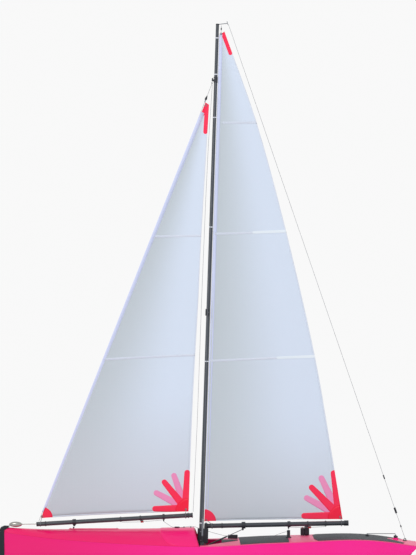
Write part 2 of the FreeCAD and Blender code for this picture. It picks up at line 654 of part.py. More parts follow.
BACK_TOP = CRANE_TIP.add(Vector(1.6, 0, -2.0))
BACK_FOOT = Vector(EYE_X, 0, eye_z + 7.3)
back_way = BACK_TOP.sub(BACK_FOOT).normalize()
keep(rod("backstay", "Sizes.wire_dia / 2", BACK_FOOT, BACK_TOP))
back_fittings = []
for name, low, high, radius in (("hook", 27, 32, 1.5), ("adjuster", 62.5, 76.5, 2.4), ("bowsie", 149, 159, 1.5)):
    back_fittings.append(tube("backstay_" + name, str(radius), "Sizes.wire_dia / 2 + 0.05",
                              BACK_FOOT.add(back_way * low), BACK_FOOT.add(back_way * high)))
keep(group("backstay_fittings", *back_fittings))

rings = []
for index, along in enumerate((62.5, 449, 770, 1032, 1135, 1222)):
    inner = "%.2f" % (mast_radius(along) + 0.04)
    outer = "%.2f" % (mast_radius(along) + 0.55)
    rings.append(tube("luff_ring_%d" % index, outer, inner, on_mast(along - 1.2), on_mast(along + 1.2)))
keep(group("luff_rings", *rings))

# -------------------------------------------------------------- main boom and sail
MAIN_PIVOT = on_mast(55.5, SWING)
BOOM_END = Vector(305.3, 0, 154.3)
boom_way = BOOM_END.sub(MAIN_PIVOT).normalize()


def on_boom(x, up=0.0):
    """A point of the main boom's axis at x, raised by up."""
    part = (x - MAIN_PIVOT.x) / (BOOM_END.x - MAIN_PIVOT.x)
    return MAIN_PIVOT.add(BOOM_END.sub(MAIN_PIVOT) * part).add(Vector(0, 0, up))


keep(tube("main_boom", "Sizes.boom_dia / 2", "Sizes.boom_dia / 2 - Sizes.tube_wall",
          on_boom(-24), on_boom(302)))


def collar(name, x, place, boom_radius, width, extra):
    """A moulded ring round a boom."""
    return tube(name, "Sizes.%s / 2 + %s" % (boom_radius, extra), "Sizes.%s / 2 + 0.02" % boom_radius,
                place(x - width / 2), place(x + width / 2))


swivel_block = rod("swivel_block", "4.4", on_mast(49.6, SWING), on_mast(61, SWING))
swivel_plug = rod("swivel_plug", "Sizes.boom_dia / 2 - Sizes.tube_wall - 0.05", on_boom(-32), on_boom(-10))
swivel_shoulder = rod("swivel_shoulder", "Sizes.boom_dia / 2", on_boom(-31), on_boom(-24.1))
swivel_bore = rod("swivel_bore", "Sizes.pin_dia / 2 + 0.05", on_mast(40, SWING), on_mast(70, SWING))
swivel_solid = fuse("swivel_solid", swivel_block, swivel_plug, swivel_shoulder)
swivel = cut("gooseneck_swivel", swivel_solid, swivel_bore)
MAIN_RINGS = [("main_tack_ring", -20.8, 2.2, "1.1"), ("main_front_ring", 3.0, 2.6, "1.0"),
              ("main_middle_ring", 208.0, 3.0, "1.1"), ("main_aft_ring", 250.6, 3.0, "1.2")]
main_fittings = [swivel]
for name, x, width, extra in MAIN_RINGS:
    main_fittings.append(collar(name, x, on_boom, "boom_dia", width, extra))
vang_ring = collar("vang_ring", 54.4, on_boom, "boom_dia", 9, "2.6")
VANG_LUG = on_boom(52.5, -9.6)
vang_lug = rod("vang_lug", "2.6", VANG_LUG.add(Vector(0, -2.4, 0)), VANG_LUG.add(Vector(0, 2.4, 0)))
vang_clear = rod("vang_clear", "Sizes.boom_dia / 2 + 0.02", on_boom(40), on_boom(70))
main_fittings.append(cut("vang_collar", fuse("vang_solid", vang_ring, vang_lug), vang_clear))
SHEET_X = 162.0
sheet_ring = collar("sheet_ring", SHEET_X + 1, on_boom, "boom_dia", 7, "1.8")
sheet_drop = block("sheet_drop", on_boom(SHEET_X, -8.0), "3.4", "2.4", "5")
sheet_clear = rod("sheet_clear", "Sizes.boom_dia / 2 + 0.02", on_boom(150), on_boom(175))
main_fittings.append(cut("main_sheet_eye", fuse("sheet_solid", sheet_ring, sheet_drop), sheet_clear))
main_fittings.append(collar("clew_collar", 288.4, on_boom, "boom_dia", 2.4, "0.8"))
end_sleeve = collar("end_sleeve", 300.0, on_boom, "boom_dia", 10.6, "0.9")
end_disc = rod("end_disc", "Sizes.boom_dia / 2 + 0.9", on_boom(302.1), on_boom(305.3))
main_fittings.append(fuse("boom_end_cap", end_sleeve, end_disc))
main_fittings.append(block("main_bowsie", on_boom(212.5, -7.6), "5", "4", "3.2"))
keep(group("main_boom_fittings", *main_fittings))

# The kicker: a lower eye on the gooseneck axis, a turning barrel, and a rod to the boom.
KICK_LOW = on_mast(7, SWING)
kick_way = VANG_LUG.sub(KICK_LOW).normalize()
kick_eye = rod("kick_eye", "3.2", on_mast(4.2, SWING), on_mast(9.8, SWING))
kick_fork = rod("kick_fork", "1.1", KICK_LOW.add(kick_way * 2.4), KICK_LOW.add(kick_way * 16))
kick_pin_hole = rod("kick_pin_hole", "Sizes.pin_dia / 2 + 0.05", on_mast(0, SWING), on_mast(14, SWING))
kick_lower = cut("kicker_lower", fuse("kick_lower_solid", kick_eye, kick_fork), kick_pin_hole)
kick_span = VANG_LUG.sub(KICK_LOW).Length
kick_upper = rod("kicker_upper", "0.9", KICK_LOW.add(kick_way * 50),
                 KICK_LOW.add(kick_way * (kick_span - 2.9)))
keep(group("kicker_rods", kick_lower, kick_upper))
barrel_solid = rod("barrel_solid", "1.9", KICK_LOW.add(kick_way * 10), KICK_LOW.add(kick_way * 56))
barrel_low = rod("barrel_low", "1.15", KICK_LOW.add(kick_way * 9), KICK_LOW.add(kick_way * 20))
barrel_high = rod("barrel_high", "0.95", KICK_LOW.add(kick_way * 46), KICK_LOW.add(kick_way * 57))
keep(cut("kicker_barrel", barrel_solid, fuse("barrel_holes", barrel_low, barrel_high)))

SAIL = size("sail_thickness")


def sail_solid(luff, leech, camber, twist):
    """A thin cambered sail: matching points up the luff and the leech, belly to starboard."""
    sections = []
    count = len(luff) - 1
    for i, (front, back) in enumerate(zip(luff, leech)):
        span = back.sub(front)
        height = i / count
        depth = camber * span.Length * (1 - 0.35 * (1 - height) ** 4)
        fall = twist * height * span.Length
        near, far = [], []
        for j in range(9):
            part = j / 8
            belly = depth * math.sin(math.pi * part ** 0.85) + fall * part * part
            point = front.add(span * part)
            near.append(point.add(Vector(0, belly - SAIL / 2, 0)))
            far.append(point.add(Vector(0, belly + SAIL / 2, 0)))
        sections.append(closed_section(near, far))
    return Part.makeLoft(sections, True, False)


def luff_point(z):
    """The mainsail's luff, just aft of the mast."""
    along = (z - MAST_FOOT.z) / math.cos(math.radians(size("rake")))
    return on_mast(along, mast_radius(along) + 1.15)


MAIN_LEECH = [(291.0, 163.5), (262.5, 338.0), (223.6, 559.8), (155.9, 853.6), (85.9, 1111.0), (8.9, 1329.0)]
MAIN_LUFF_Z = [158.4, 325.0, 545.0, 848.0, 1110.0, 1321.0]
main_luff = [luff_point(z) for z in MAIN_LUFF_Z]
main_leech = [Vector(x, 0, z) for x, z in MAIN_LEECH]
keep(shaped("mainsail", sail_solid(main_luff, main_leech, 0.085, 0.05)))

# --------------------------------------------------------------- jib boom and sail
JIB_PIVOT = Vector(-351.5, 0, 144.3)
JIB_FRONT, JIB_BACK = Vector(-439, 0, 151.4), Vector(-67.5, 0, 173)


def on_jib_boom(x, up=0.0):
    part = (x - JIB_FRONT.x) / (JIB_BACK.x - JIB_FRONT.x)
    return JIB_FRONT.add(JIB_BACK.sub(JIB_FRONT) * part).add(Vector(0, 0, up))


keep(tube("jib_boom", "Sizes.jib_boom_dia / 2", "Sizes.jib_boom_dia / 2 - Sizes.tube_wall",
          on_jib_boom(-437), on_jib_boom(-70)))
JIB_RINGS = [("jib_tack_ring", -418.6, 2.4, "0.9"), ("jib_front_ring", -239.0, 3.0, "1.0"),
             ("jib_middle_ring", -192.0, 3.0, "1.1"), ("jib_clew_ring", -84.0, 3.0, "1.0"),
             ("jib_outhaul_ring", -77.6, 2.4, "1.2")]
jib_fittings = [collar(name, x, on_jib_boom, "jib_boom_dia", width, extra)
                for name, x, width, extra in JIB_RINGS]
jib_swivel_ring = collar("jib_swivel_ring", -350.0, on_jib_boom, "jib_boom_dia", 8, "1.8")
jib_axis = HOUNDS.sub(JIB_PIVOT).normalize()
jib_swivel_drop = rod("jib_swivel_drop", "2.6", JIB_PIVOT.add(jib_axis * 2.9),
                      JIB_PIVOT.add(jib_axis * 8.8))
jib_swivel_clear = rod("jib_swivel_clear", "Sizes.jib_boom_dia / 2 + 0.02",
                       on_jib_boom(-370), on_jib_boom(-330))
jib_fittings.append(cut("jib_swivel", fuse("jib_swivel_solid", jib_swivel_ring, jib_swivel_drop),
                        jib_swivel_clear))
JIB_SHEET_X = -136.5
jib_sheet_ring = collar("jib_sheet_ring", JIB_SHEET_X, on_jib_boom, "jib_boom_dia", 5, "1.6")
jib_sheet_drop = block("jib_sheet_drop", on_jib_boom(JIB_SHEET_X, -8.0), "3", "2.4", "5")
jib_sheet_clear = rod("jib_sheet_clear", "Sizes.jib_boom_dia / 2 + 0.02",
                      on_jib_boom(-150), on_jib_boom(-120))
jib_fittings.append(cut("jib_sheet_eye", fuse("jib_sheet_solid", jib_sheet_ring, jib_sheet_drop),
                        jib_sheet_clear))
jib_fittings.append(block("jib_bowsie", on_jib_boom(-188, -7.2), "5", "4", "3.2"))
WEIGHT = on_jib_boom(-490, 2.6)
front_disc = rod("front_disc", "Sizes.jib_boom_dia / 2", on_jib_boom(-440.4), on_jib_boom(-437.1))
front_plug = rod("front_plug", "Sizes.jib_boom_dia / 2 - Sizes.tube_wall - 0.05",
                 on_jib_boom(-439), on_jib_boom(-428))
weight_hole = rod("weight_hole", "1.0", WEIGHT, on_jib_boom(-428))
jib_fittings.append(cut("jib_front_cap", fuse("front_cap_solid", front_disc, front_plug), weight_hole))
back_disc = rod("back_disc", "Sizes.jib_boom_dia / 2 + 0.6", on_jib_boom(-69.9), on_jib_boom(-66.8))
jib_fittings.append(back_disc)
keep(group("jib_boom_fittings", *jib_fittings))

weight = doc.addObject("Part::Ellipsoid", "weight")
weight.setExpression("Radius1", "Sizes.weight_length / 2")
weight.setExpression("Radius2", "Sizes.weight_dia / 2")
weight.setExpression("Radius3", "Sizes.weight_dia / 2")
weight.Placement = Placement(WEIGHT, Rotation(Vector(0, 1, 0), 90))
weight_rod = rod("weight_rod", "0.95", WEIGHT, on_jib_boom(-428))
keep(fuse("counterweight", weight, weight_rod))

JIB_LEECH = [(-77.0, 182.0), (-69.0, 400.4), (-61.3, 553.4), (-53.7, 687.2), (-46.7, 837.8), (-28.0, 1154.0)]
JIB_TACK, JIB_HEAD = Vector(-429.8, 0, 166.0), Vector(-36.6, 0, 1159.5)
jib_luff = []
for x, z in JIB_LEECH:
    part = (z - JIB_LEECH[0][1]) / (JIB_LEECH[-1][1] - JIB_LEECH[0][1])
    jib_luff.append(JIB_TACK.add(JIB_HEAD.sub(JIB_TACK) * part))
jib_leech = [Vector(x, 0, z) for x, z in JIB_LEECH]
keep(shaped("jib_sail", sail_solid(jib_luff, jib_leech, 0.085, 0.03)))

STAY_FOOT, STAY_TOP = Vector(-434.9, 0, 158.4), HOUNDS.add(Vector(-2.6, 0, -9))
stay_wire = rod("stay_wire", "Sizes.wire_dia / 2", STAY_FOOT, STAY_TOP)
stay_way = STAY_TOP.sub(STAY_FOOT).normalize()
stay_len = STAY_TOP.sub(STAY_FOOT).Length
stay_knob = tube("stay_knob", "1.3", "Sizes.wire_dia / 2 - 0.02",
                 STAY_FOOT.add(stay_way * (stay_len - 46)), STAY_FOOT.add(stay_way * (stay_len - 35)))
stay_ring = doc.addObject("Part::Torus", "stay_ring")
stay_ring.Radius1 = 1.7
stay_ring.Radius2 = 0.5
stay_ring.Placement = Placement(STAY_TOP.add(Vector(0.3, 0, 1.6)), Rotation(Vector(1, 0, 0), 90))
keep(fuse("jib_stay", stay_wire, stay_knob, stay_ring))

LIFT_ROUTE = [Vector(-20.2, 0, 1202.4), Vector(-29.5, 0, 1060), Vector(-36.0, 0, 926), Vector(-45.8, 0, 687),
              Vector(-56.0, 0, 400), Vector(-66.0, 0, 181.2)]
keep(shaped("topping_lift", line_tube(LIFT_ROUTE, size("line_dia") / 2, 900)))

# -------------------------------------------------------------------- deck fittings
def foredeck_top(x):
    """Height of the foredeck's crown."""
    return hull_value(x, 4) + DECK_LOW


CROWN = foredeck_top(-240) + 0.15
plate = new_body("jib_plate")
plate_outline = new_sketch(plate, "XY_Plane", "plate_outline")
rectangle(plate_outline, "118", "9")
pad(plate, plate_outline, "1.2", "plate_pad")
doc.recompute()
plate_holes = new_sketch(plate, "XY_Plane", "plate_holes")
for place in (-48, 5, 27, 49):
    hole_circle(plate_holes, "1.5", place)
plate_cut = plate.newObject("PartDesign::Pocket", "plate_cut")
plate_cut.Profile = plate_holes
plate_cut.Type = "ThroughAll"
plate_cut.Reversed = True
doc.recompute()
PLATE_X = -303.5
plate.Placement = Placement(Vector(PLATE_X, 0, CROWN), Rotation())
keep(plate)

swivel_post = rod("swivel_post", "1.45", Vector(JIB_PIVOT.x, 0, CROWN + 0.1),
                  Vector(JIB_PIVOT.x, 0, CROWN + 3))
swivel_ball = doc.addObject("Part::Sphere", "swivel_ball")
swivel_ball.Radius = 2.0
swivel_ball.Placement = Placement(Vector(JIB_PIVOT.x, 0, CROWN + 3.6), Rotation())
deck_eyes = [fuse("jib_deck_swivel", swivel_post, swivel_ball)]
for name, x in (("front", -88.0), ("back", -71.5)):
    low = Vector(x, 0, foredeck_top(x) + 0.4)
    stem = rod("lead_stem_" + name, "0.9", low, low.add(Vector(0, 0, 4)))
    foot = rod("lead_foot_" + name, "2.4", low, low.add(Vector(0, 0, 1)))
    deck_eyes.append(fuse("lead_eye_" + name, stem, foot))
keep(group("jib_deck_eyes", *deck_eyes))

post_z = deck_top(SHEET_X) + size("patch")
post_base = rod("post_base", "6.5", Vector(SHEET_X, 0, post_z + 0.3), Vector(SHEET_X, 0, post_z + 2.3))
post_stem = rod("post_stem", "3.9", Vector(SHEET_X, 0, post_z + 2), Vector(SHEET_X, 0, 137))
post_hole = rod("post_hole", "1.1", Vector(SHEET_X - 8, 0, 133), Vector(SHEET_X + 8, 0, 133))
post_bore = rod("post_bore", "1.1", Vector(SHEET_X, 0, 131), Vector(SHEET_X, 0, 138))
keep(cut("mainsheet_post", cut("post_side", fuse("post_solid", post_base, post_stem), post_hole), post_bore))

EXIT_X, EXIT_Y = 29.0, 34.0
exit_z = deck_top(EXIT_X, EXIT_Y)
exit_body = block("exit_body", Vector(EXIT_X, EXIT_Y, exit_z + 5.2), "24", "8", "9.6")
exit_slot = rod("exit_slot", "1.3", Vector(EXIT_X - 14, EXIT_Y, exit_z + 7.2),
                Vector(EXIT_X + 4, EXIT_Y, exit_z + 7.2))
exit_fairlead = cut("exit_fairlead", rounded("exit_round", exit_body, 2.0), exit_slot)
LEAD_X = -104.5
lead_z = foredeck_top(LEAD_X + 8) + 2.2
lead_body = block("lead_body", Vector(LEAD_X, 0, lead_z), "12", "5", "3.4")
lead_slot = rod("lead_slot", "1.0", Vector(LEAD_X - 10, 0, lead_z), Vector(LEAD_X + 10, 0, lead_z))
foredeck_lead = cut("foredeck_lead", rounded("lead_round", lead_body, 1.2), lead_slot)
keep(group("sheet_fairleads", exit_fairlead, foredeck_lead))

SW_X, SW_Y = size("switch_x"), size("switch_y")
sw_z = deck_top(SW_X, SW_Y) + 0.3
low_block = block("low_block", Vector(SW_X - 5.5, SW_Y, sw_z + 8.7), "10", "14", "17")
tall_block = block("tall_block", Vector(SW_X + 4.6, SW_Y, sw_z + 11.2), "11.4", "16", "22")
button_well = rod("button_well", "2.6", Vector(SW_X - 5.5, SW_Y, sw_z + 12),
                  Vector(SW_X - 5.5, SW_Y, sw_z + 18))
housing = cut("switch_housing", fuse("switch_blocks", rounded("low_round", low_block, 2.2),
                                     rounded("tall_round", tall_block, 2.6)), button_well)
keep(housing)
keep(rod("switch_button", "2.5", Vector(SW_X - 5.5, SW_Y, sw_z + 12 + size("button_travel") + 0.3),
         Vector(SW_X - 5.5, SW_Y, sw_z + 19.4)))

bung_pin = rod("bung_pin", "3.05", BUNG_AT.sub(TRANSOM_NORMAL * 3), BUNG_AT.add(TRANSOM_NORMAL * 1.8))
bung_head = rod("bung_head", "5", BUNG_AT.add(TRANSOM_NORMAL * 1.6), BUNG_AT.add(TRANSOM_NORMAL * 4))
keep(fuse("drain_bung", bung_pin, bung_head))

# ------------------------------------------------------------------------- rudder
blade_chord, blade_t = size("blade_chord"), size("blade_thickness")
lead_x = RUDDER_X - 0.22 * blade_chord
blade = Part.makeLoft([foil(blade_chord, blade_t, lead_x, 48.5),
                       foil(blade_chord * 0.94, blade_t, lead_x + 2, -40),
                       foil(blade_chord * 0.72, blade_t * 0.8, lead_x + 9, 48.5 - size("blade_depth"))],
                      True, False)
blade = blade.cut(vertical_bar(RUDDER_X, 0, -60, 60, size("stock_dia") / 2 + 0.01))
keep(shaped("rudder_blade", blade))
keep(rod("rudder_stock", "Sizes.stock_dia / 2", Vector(RUDDER_X, 0, -58), Vector(RUDDER_X, 0, 126)))

tube_low = rod("tube_low", "3.5", Vector(RUDDER_X, 0, 59), Vector(RUDDER_X, 0, 112))
tube_cap = rod("tube_cap", "6.2", Vector(RUDDER_X, 0, 111), Vector(RUDDER_X, 0, 119))
tube_bore = rod("tube_bore", "Sizes.stock_dia / 2 + 0.05", Vector(RUDDER_X, 0, 50), Vector(RUDDER_X, 0, 130))
keep(cut("rudder_tube", fuse("tube_solid", tube_low, tube_cap), tube_bore))


def crank(label, arm, height, hub, bore, pin_radius):
    """An arm with a hub at one end and a hole for the link's pin at the other."""
    arm_plate = block(label + "_plate", Vector(0, arm / 2, height / 2), "6",
                      "%.2f" % (arm + 6), "%.2f" % height)
    hub_bar = rod(label + "_hub", hub, Vector(0, 0, 0), Vector(0, 0, height))
    hub_hole = rod(label + "_bore", bore, Vector(0, 0, -5), Vector(0, 0, height + 5))
    pin_hole = rod(label + "_pin_hole", pin_radius, Vector(0, arm, -5), Vector(0, arm, height + 5))
    return cut(label, cut(label + "_bored", fuse(label + "_solid", arm_plate, hub_bar), hub_hole), pin_hole)


ARM = size("tiller_radius")
tiller = crank("tiller_arm", ARM, 3.4, "5", "Sizes.stock_dia / 2 + 0.01", "0.85")
tiller.Placement = Placement(Vector(RUDDER_X, 0, size("tiller_z") + 0.3), Rotation())
keep(tiller)
horn = crank("servo_horn", ARM, 2.0, "4", "1.0", "0.85")
horn.Placement = Placement(Vector(HORN_X, 0, size("horn_z")), Rotation())
keep(horn)

ROD_Z = size("horn_z") + 3.0
link_bar = rod("link_bar", "0.8", Vector(HORN_X, ARM, ROD_Z), Vector(RUDDER_X, ARM, ROD_Z))
link_front = rod("link_front", "0.8", Vector(HORN_X, ARM, size("horn_z") - 0.5), Vector(HORN_X, ARM, ROD_Z))
link_back = rod("link_back", "0.75", Vector(RUDDER_X, ARM, size("tiller_z") - 0.4),
                Vector(RUDDER_X, ARM, ROD_Z))
keep(fuse("pushrod", link_bar, link_front, link_back))

# ------------------------------------------------------------- radio and sail winch
TRAY_Z = size("tray_z")
WINCH_X = size("winch_x")
tray_blank = block("tray_blank", Vector(135, 0, TRAY_Z), "140", "170", "3")
tray_trim = shaped("tray_trim", hull_solid(-30, 0).cut(below))
tray_hole = block("tray_hole", Vector(WINCH_X, 0, TRAY_Z), "41", "21", "10")
keep(cut("servo_tray", cut("tray_shape", tray_blank, tray_trim), tray_hole))

winch_case = block("winch_case", Vector(WINCH_X, 0, TRAY_Z - 3), "40", "20", "38")
winch_ears = block("winch_ears", Vector(WINCH_X, 0, TRAY_Z + 3), "54", "18", "2.4")
winch_shaft = rod("winch_shaft", "2.9", Vector(WINCH_X - 10, 0, TRAY_Z + 15),
                  Vector(WINCH_X - 10, 0, TRAY_Z + 31))
keep(fuse("sail_winch", winch_case, winch_ears, winch_shaft))
drum_r = size("drum_dia") / 2
drum = turned("winch_drum", [(3.0, 0), (drum_r, 0), (drum_r, 1.4), (drum_r - 3, 3.2), (drum_r - 3, 5),
                             (drum_r, 6.8), (drum_r, 7.6), (drum_r - 3, 9.4), (drum_r - 3, 11),
                             (drum_r, 12.6), (drum_r, 13.6), (3.0, 13.6)])
drum.Placement = Placement(Vector(WINCH_X - 10, 0, TRAY_Z + 16.6), Rotation())
keep(drum)

servo_top = deck_top(HORN_X) - SKIN - 0.3
servo_case = block("servo_case", Vector(HORN_X + 6, 0, servo_top - 13), "24", "12", "25")
servo_shaft = rod("servo_shaft", "3.0", Vector(HORN_X, 0, servo_top - 2),
                  Vector(HORN_X, 0, size("horn_z") - 0.3))
servo_spline = rod("servo_spline", "0.95", Vector(HORN_X, 0, servo_top - 2),
                   Vector(HORN_X, 0, size("horn_z") + 1.8))
keep(fuse("rudder_servo", servo_case, servo_shaft, servo_spline))
keep(rounded("receiver", block("receiver_blank", Vector(180, 0, TRAY_Z + 9.2), "38", "26", "14"), 1.5))
keep(rounded("battery", block("battery_blank", Vector(-105, 0, 20.5), "72", "34", "18"), 2.0))

# -------------------------------------------------------------------------- sheets
MAIN_SHEET = [Vector(104, 9, deck_top(104, 9) + 1.8), Vector(118, 6, 119), Vector(SHEET_X - 9, 0.6, 133),
              Vector(SHEET_X, 0, 133.4), Vector(SHEET_X, 0, 140.4)]
sheet_r = size("line_dia") / 2
keep(shaped("mainsheet", line_tube(MAIN_SHEET, sheet_r, 0.8)))
JIB_SHEET = [Vector(JIB_SHEET_X, 0, 157.8), Vector(LEAD_X - 12, 0, lead_z), Vector(LEAD_X + 12, 0, lead_z),
             Vector(-64, 8.5, 145.6), Vector(-46, 12.5, 138), Vector(6, EXIT_Y - 1, exit_z + 8.4),
             Vector(14, EXIT_Y, exit_z + 7.2), Vector(EXIT_X, EXIT_Y, exit_z + 7.2)]
keep(shaped("jib_sheet", line_tube(JIB_SHEET, sheet_r, 4)))

# ------------------------------------------------------------------ check and write
doc.recompute()
for item in doc.Objects:
    if "Invalid" in item.State or "Error" in item.State:
        raise RuntimeError("%s did not build: %s" % (item.Label, item.State))
os.makedirs("parts", exist_ok=True)
faulty = [piece.Label for piece in sub_parts
          if piece.Shape.isNull() or not piece.Shape.isValid() or not piece.Shape.Solids]
if faulty:
    raise RuntimeError("not sound solids: " + ", ".join(faulty))
for piece in sub_parts:
    shape = piece.Shape
    shape.exportStep("parts/%s.step" % piece.Label)
    print("%-22s %2d solid(s) %10.1f mm3" % (piece.Label, len(shape.Solids), shape.Volume))
print("%d sub-parts written" % len(sub_parts))
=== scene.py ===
# %% [markdown]
# # A radio-controlled sailing boat, dressed around its CAD frame
# The frame holds every piece that has to fit or move: hull, spars, booms, rigging and radio gear.
# This script gives each of those pieces its finish and adds what is soft or thin: the two sails with
# their panels and corner patches, the control lines, the raised cowl ahead of the mast and the screws.
# All sizes are in metres. +X points aft, +Y to starboard and +Z up.

import json
import math

import bmesh
import bpy
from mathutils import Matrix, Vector
from mathutils.bvhtree import BVHTree


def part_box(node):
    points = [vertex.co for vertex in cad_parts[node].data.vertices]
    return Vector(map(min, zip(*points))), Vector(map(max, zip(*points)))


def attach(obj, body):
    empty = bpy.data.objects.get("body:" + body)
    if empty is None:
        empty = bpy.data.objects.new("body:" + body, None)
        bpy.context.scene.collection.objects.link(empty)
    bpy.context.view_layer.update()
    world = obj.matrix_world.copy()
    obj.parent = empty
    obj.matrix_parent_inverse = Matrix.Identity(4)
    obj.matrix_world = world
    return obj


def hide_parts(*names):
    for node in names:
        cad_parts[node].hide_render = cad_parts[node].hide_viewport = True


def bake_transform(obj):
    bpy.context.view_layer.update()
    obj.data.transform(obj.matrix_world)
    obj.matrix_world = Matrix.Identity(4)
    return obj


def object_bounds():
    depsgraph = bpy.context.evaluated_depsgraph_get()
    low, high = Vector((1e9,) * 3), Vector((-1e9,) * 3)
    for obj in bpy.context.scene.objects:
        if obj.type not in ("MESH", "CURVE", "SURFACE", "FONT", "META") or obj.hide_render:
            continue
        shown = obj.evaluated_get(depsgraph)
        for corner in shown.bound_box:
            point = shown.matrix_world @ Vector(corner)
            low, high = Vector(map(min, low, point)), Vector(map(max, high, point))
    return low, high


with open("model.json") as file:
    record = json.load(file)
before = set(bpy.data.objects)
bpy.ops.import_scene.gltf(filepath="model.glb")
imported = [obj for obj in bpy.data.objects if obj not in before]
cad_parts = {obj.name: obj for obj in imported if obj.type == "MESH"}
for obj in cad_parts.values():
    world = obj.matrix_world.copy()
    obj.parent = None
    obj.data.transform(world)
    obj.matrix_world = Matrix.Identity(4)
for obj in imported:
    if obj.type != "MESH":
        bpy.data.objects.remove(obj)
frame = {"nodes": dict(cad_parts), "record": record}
cad_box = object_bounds()
MM = 0.001
print("height of the whole boat: %.0f mm" % ((cad_box[1].z - cad_box[0].z) / MM))

# %% [markdown]
# The view is square on to the port side, from a long way off with a long lens, so that the sails keep
# their true outline. The camera is level, and looks at a point part of the way up the mast. The hull is
# at the bottom edge of the picture, and its underside is out of it.

# %% Camera
CAMERA_DISTANCE = 5.9
CAMERA_HEIGHT = 0.741
CAMERA_ALONG = -0.0305
VIEW_HEIGHT = 1.3265
SENSOR = 36.0

camera_data = bpy.data.cameras.new("camera")
camera_data.sensor_width = SENSOR
camera_data.lens = SENSOR * CAMERA_DISTANCE / VIEW_HEIGHT
camera = bpy.data.objects.new("camera", camera_data)
camera.location = (CAMERA_ALONG, -CAMERA_DISTANCE, CAMERA_HEIGHT)
camera.rotation_euler = (math.radians(90), 0, 0)
bpy.context.scene.collection.objects.link(camera)
bpy.context.scene.camera = camera
print("lens %.0f mm" % camera_data.lens)

# %% [markdown]
# Daylight in a white studio is soft and comes from everywhere, so the world does most of the lighting.
# The world that lights the boat is dimmer than the white that shows behind it: with one value for both,
# every surface would be lit equally from all sides and the shapes would look flat. A large soft lamp
# above and to the left, ahead of the bow, then gives the hull and the spars their light and dark sides.

# %% World, lamps and floor
WHITE_BEHIND = 0.945
LIGHT_AROUND = 0.8


def wire(tree, kind, inputs=None, **settings):
    """Adds a node. Inputs are values, or other nodes' sockets to link from."""
    made = tree.nodes.new(kind)
    for key, value in settings.items():
        setattr(made, key, value)
    for socket, value in (inputs or {}).items():
        if isinstance(value, bpy.types.NodeSocket):
            tree.links.new(value, made.inputs[socket])
        else:
            made.inputs[socket].default_value = value
    return made


def light_world():
    world = bpy.data.worlds.new("white_studio")
    world.use_nodes = True
    tree = world.node_tree
    tree.nodes.clear()
    seen = wire(tree, "ShaderNodeBackground", {"Color": (1, 1, 1, 1), "Strength": WHITE_BEHIND})
    around = wire(tree, "ShaderNodeBackground", {"Color": (0.94, 0.97, 1, 1), "Strength": LIGHT_AROUND})
    path = wire(tree, "ShaderNodeLightPath")
    both = wire(tree, "ShaderNodeMixShader", {0: path.outputs["Is Camera Ray"], 1: around.outputs[0],
                                              2: seen.outputs[0]})
    wire(tree, "ShaderNodeOutputWorld", {"Surface": both.outputs[0]})
    bpy.context.scene.world = world


def soft_lamp(name, place, aim, size, watts):
    data = bpy.data.lights.new(name, "AREA")
    data.shape = "DISK"
    data.size = size
    data.energy = watts
    lamp = bpy.data.objects.new(name, data)
    lamp.location = place
    lamp.rotation_euler = (Vector(aim) - Vector(place)).to_track_quat("-Z", "Y").to_euler()
    bpy.context.scene.collection.objects.link(lamp)


light_world()
soft_lamp("key_lamp", (-1.6, -3.2, 2.6), (0, 0, 0.5), 1.8, 44)
soft_lamp("rim_lamp", (2.2, 2.4, 2.2), (0, 0, 0.6), 1.4, 22)
bpy.context.scene.view_settings.view_transform = "Standard"

# %% [markdown]
# Many finishes share the same small effects: a slow drift of colour, a fine grain, paler corners where
# hands and other parts rub (on the gelcoat these pale edges are a painted highlight), and lengthwise
# streaks in drawn tube. Each is a node group with named sockets, made once. A group only works out
# colours, masks and heights. The shader stays in the material, so each material can set its own gloss.

# %% Shared node groups


def node_group(name, inputs, outputs):
    """A shader node group. Inputs are (label, kind, value), outputs (label, kind)."""
    tree = bpy.data.node_groups.new(name, "ShaderNodeTree")
    for label, kind, value in inputs:
        socket = tree.interface.new_socket(label, in_out="INPUT", socket_type="NodeSocket" + kind)
        socket.default_value = value
    for label, kind in outputs:
        tree.interface.new_socket(label, in_out="OUTPUT", socket_type="NodeSocket" + kind)
    return tree, wire(tree, "NodeGroupInput").outputs, wire(tree, "NodeGroupOutput").inputs


def math_node(tree, operation, first, second=0.0, clamp=False):
    return wire(tree, "ShaderNodeMath", {0: first, 1: second}, operation=operation,
                use_clamp=clamp).outputs[0]


def mixed(tree, share, first, second):
    colours = {0: share, 6: first, 7: second}
    return wire(tree, "ShaderNodeMix", colours, data_type="RGBA").outputs[2]


def object_place(tree):
    """Coordinates in metres that stay with the piece when it moves."""
    return wire(tree, "ShaderNodeTexCoord").outputs["Object"]


def noise(tree, vector, scale, detail, roughness=0.5):
    values = {"Vector": vector, "Scale": scale, "Detail": detail, "Roughness": roughness}
    return wire(tree, "ShaderNodeTexNoise", values).outputs[0]


def ranged(tree, value, low, high, first=0.0, last=1.0, kind="LINEAR"):
    """Takes a value from one range to another."""
    values = {"Value": value, "From Min": low, "From Max": high, "To Min": first, "To Max": last}
    return wire(tree, "ShaderNodeMapRange", values, interpolation_type=kind).outputs[0]


def make_drift():
    """Slow variation between two colours, as in moulded or sprayed pieces."""
    tree, start, end = node_group(
        "colour_drift", [("Colour", "Color", (1, 1, 1, 1)), ("Second", "Color", (0, 0, 0, 1)),
                         ("Scale", "Float", 10.0)], [("Colour", "Color")])
    spread = ranged(tree, noise(tree, object_place(tree), start["Scale"], 3.0, 0.6), 0.3, 0.7)
    tree.links.new(mixed(tree, spread, start["Colour"], start["Second"]), end["Colour"])
    return tree


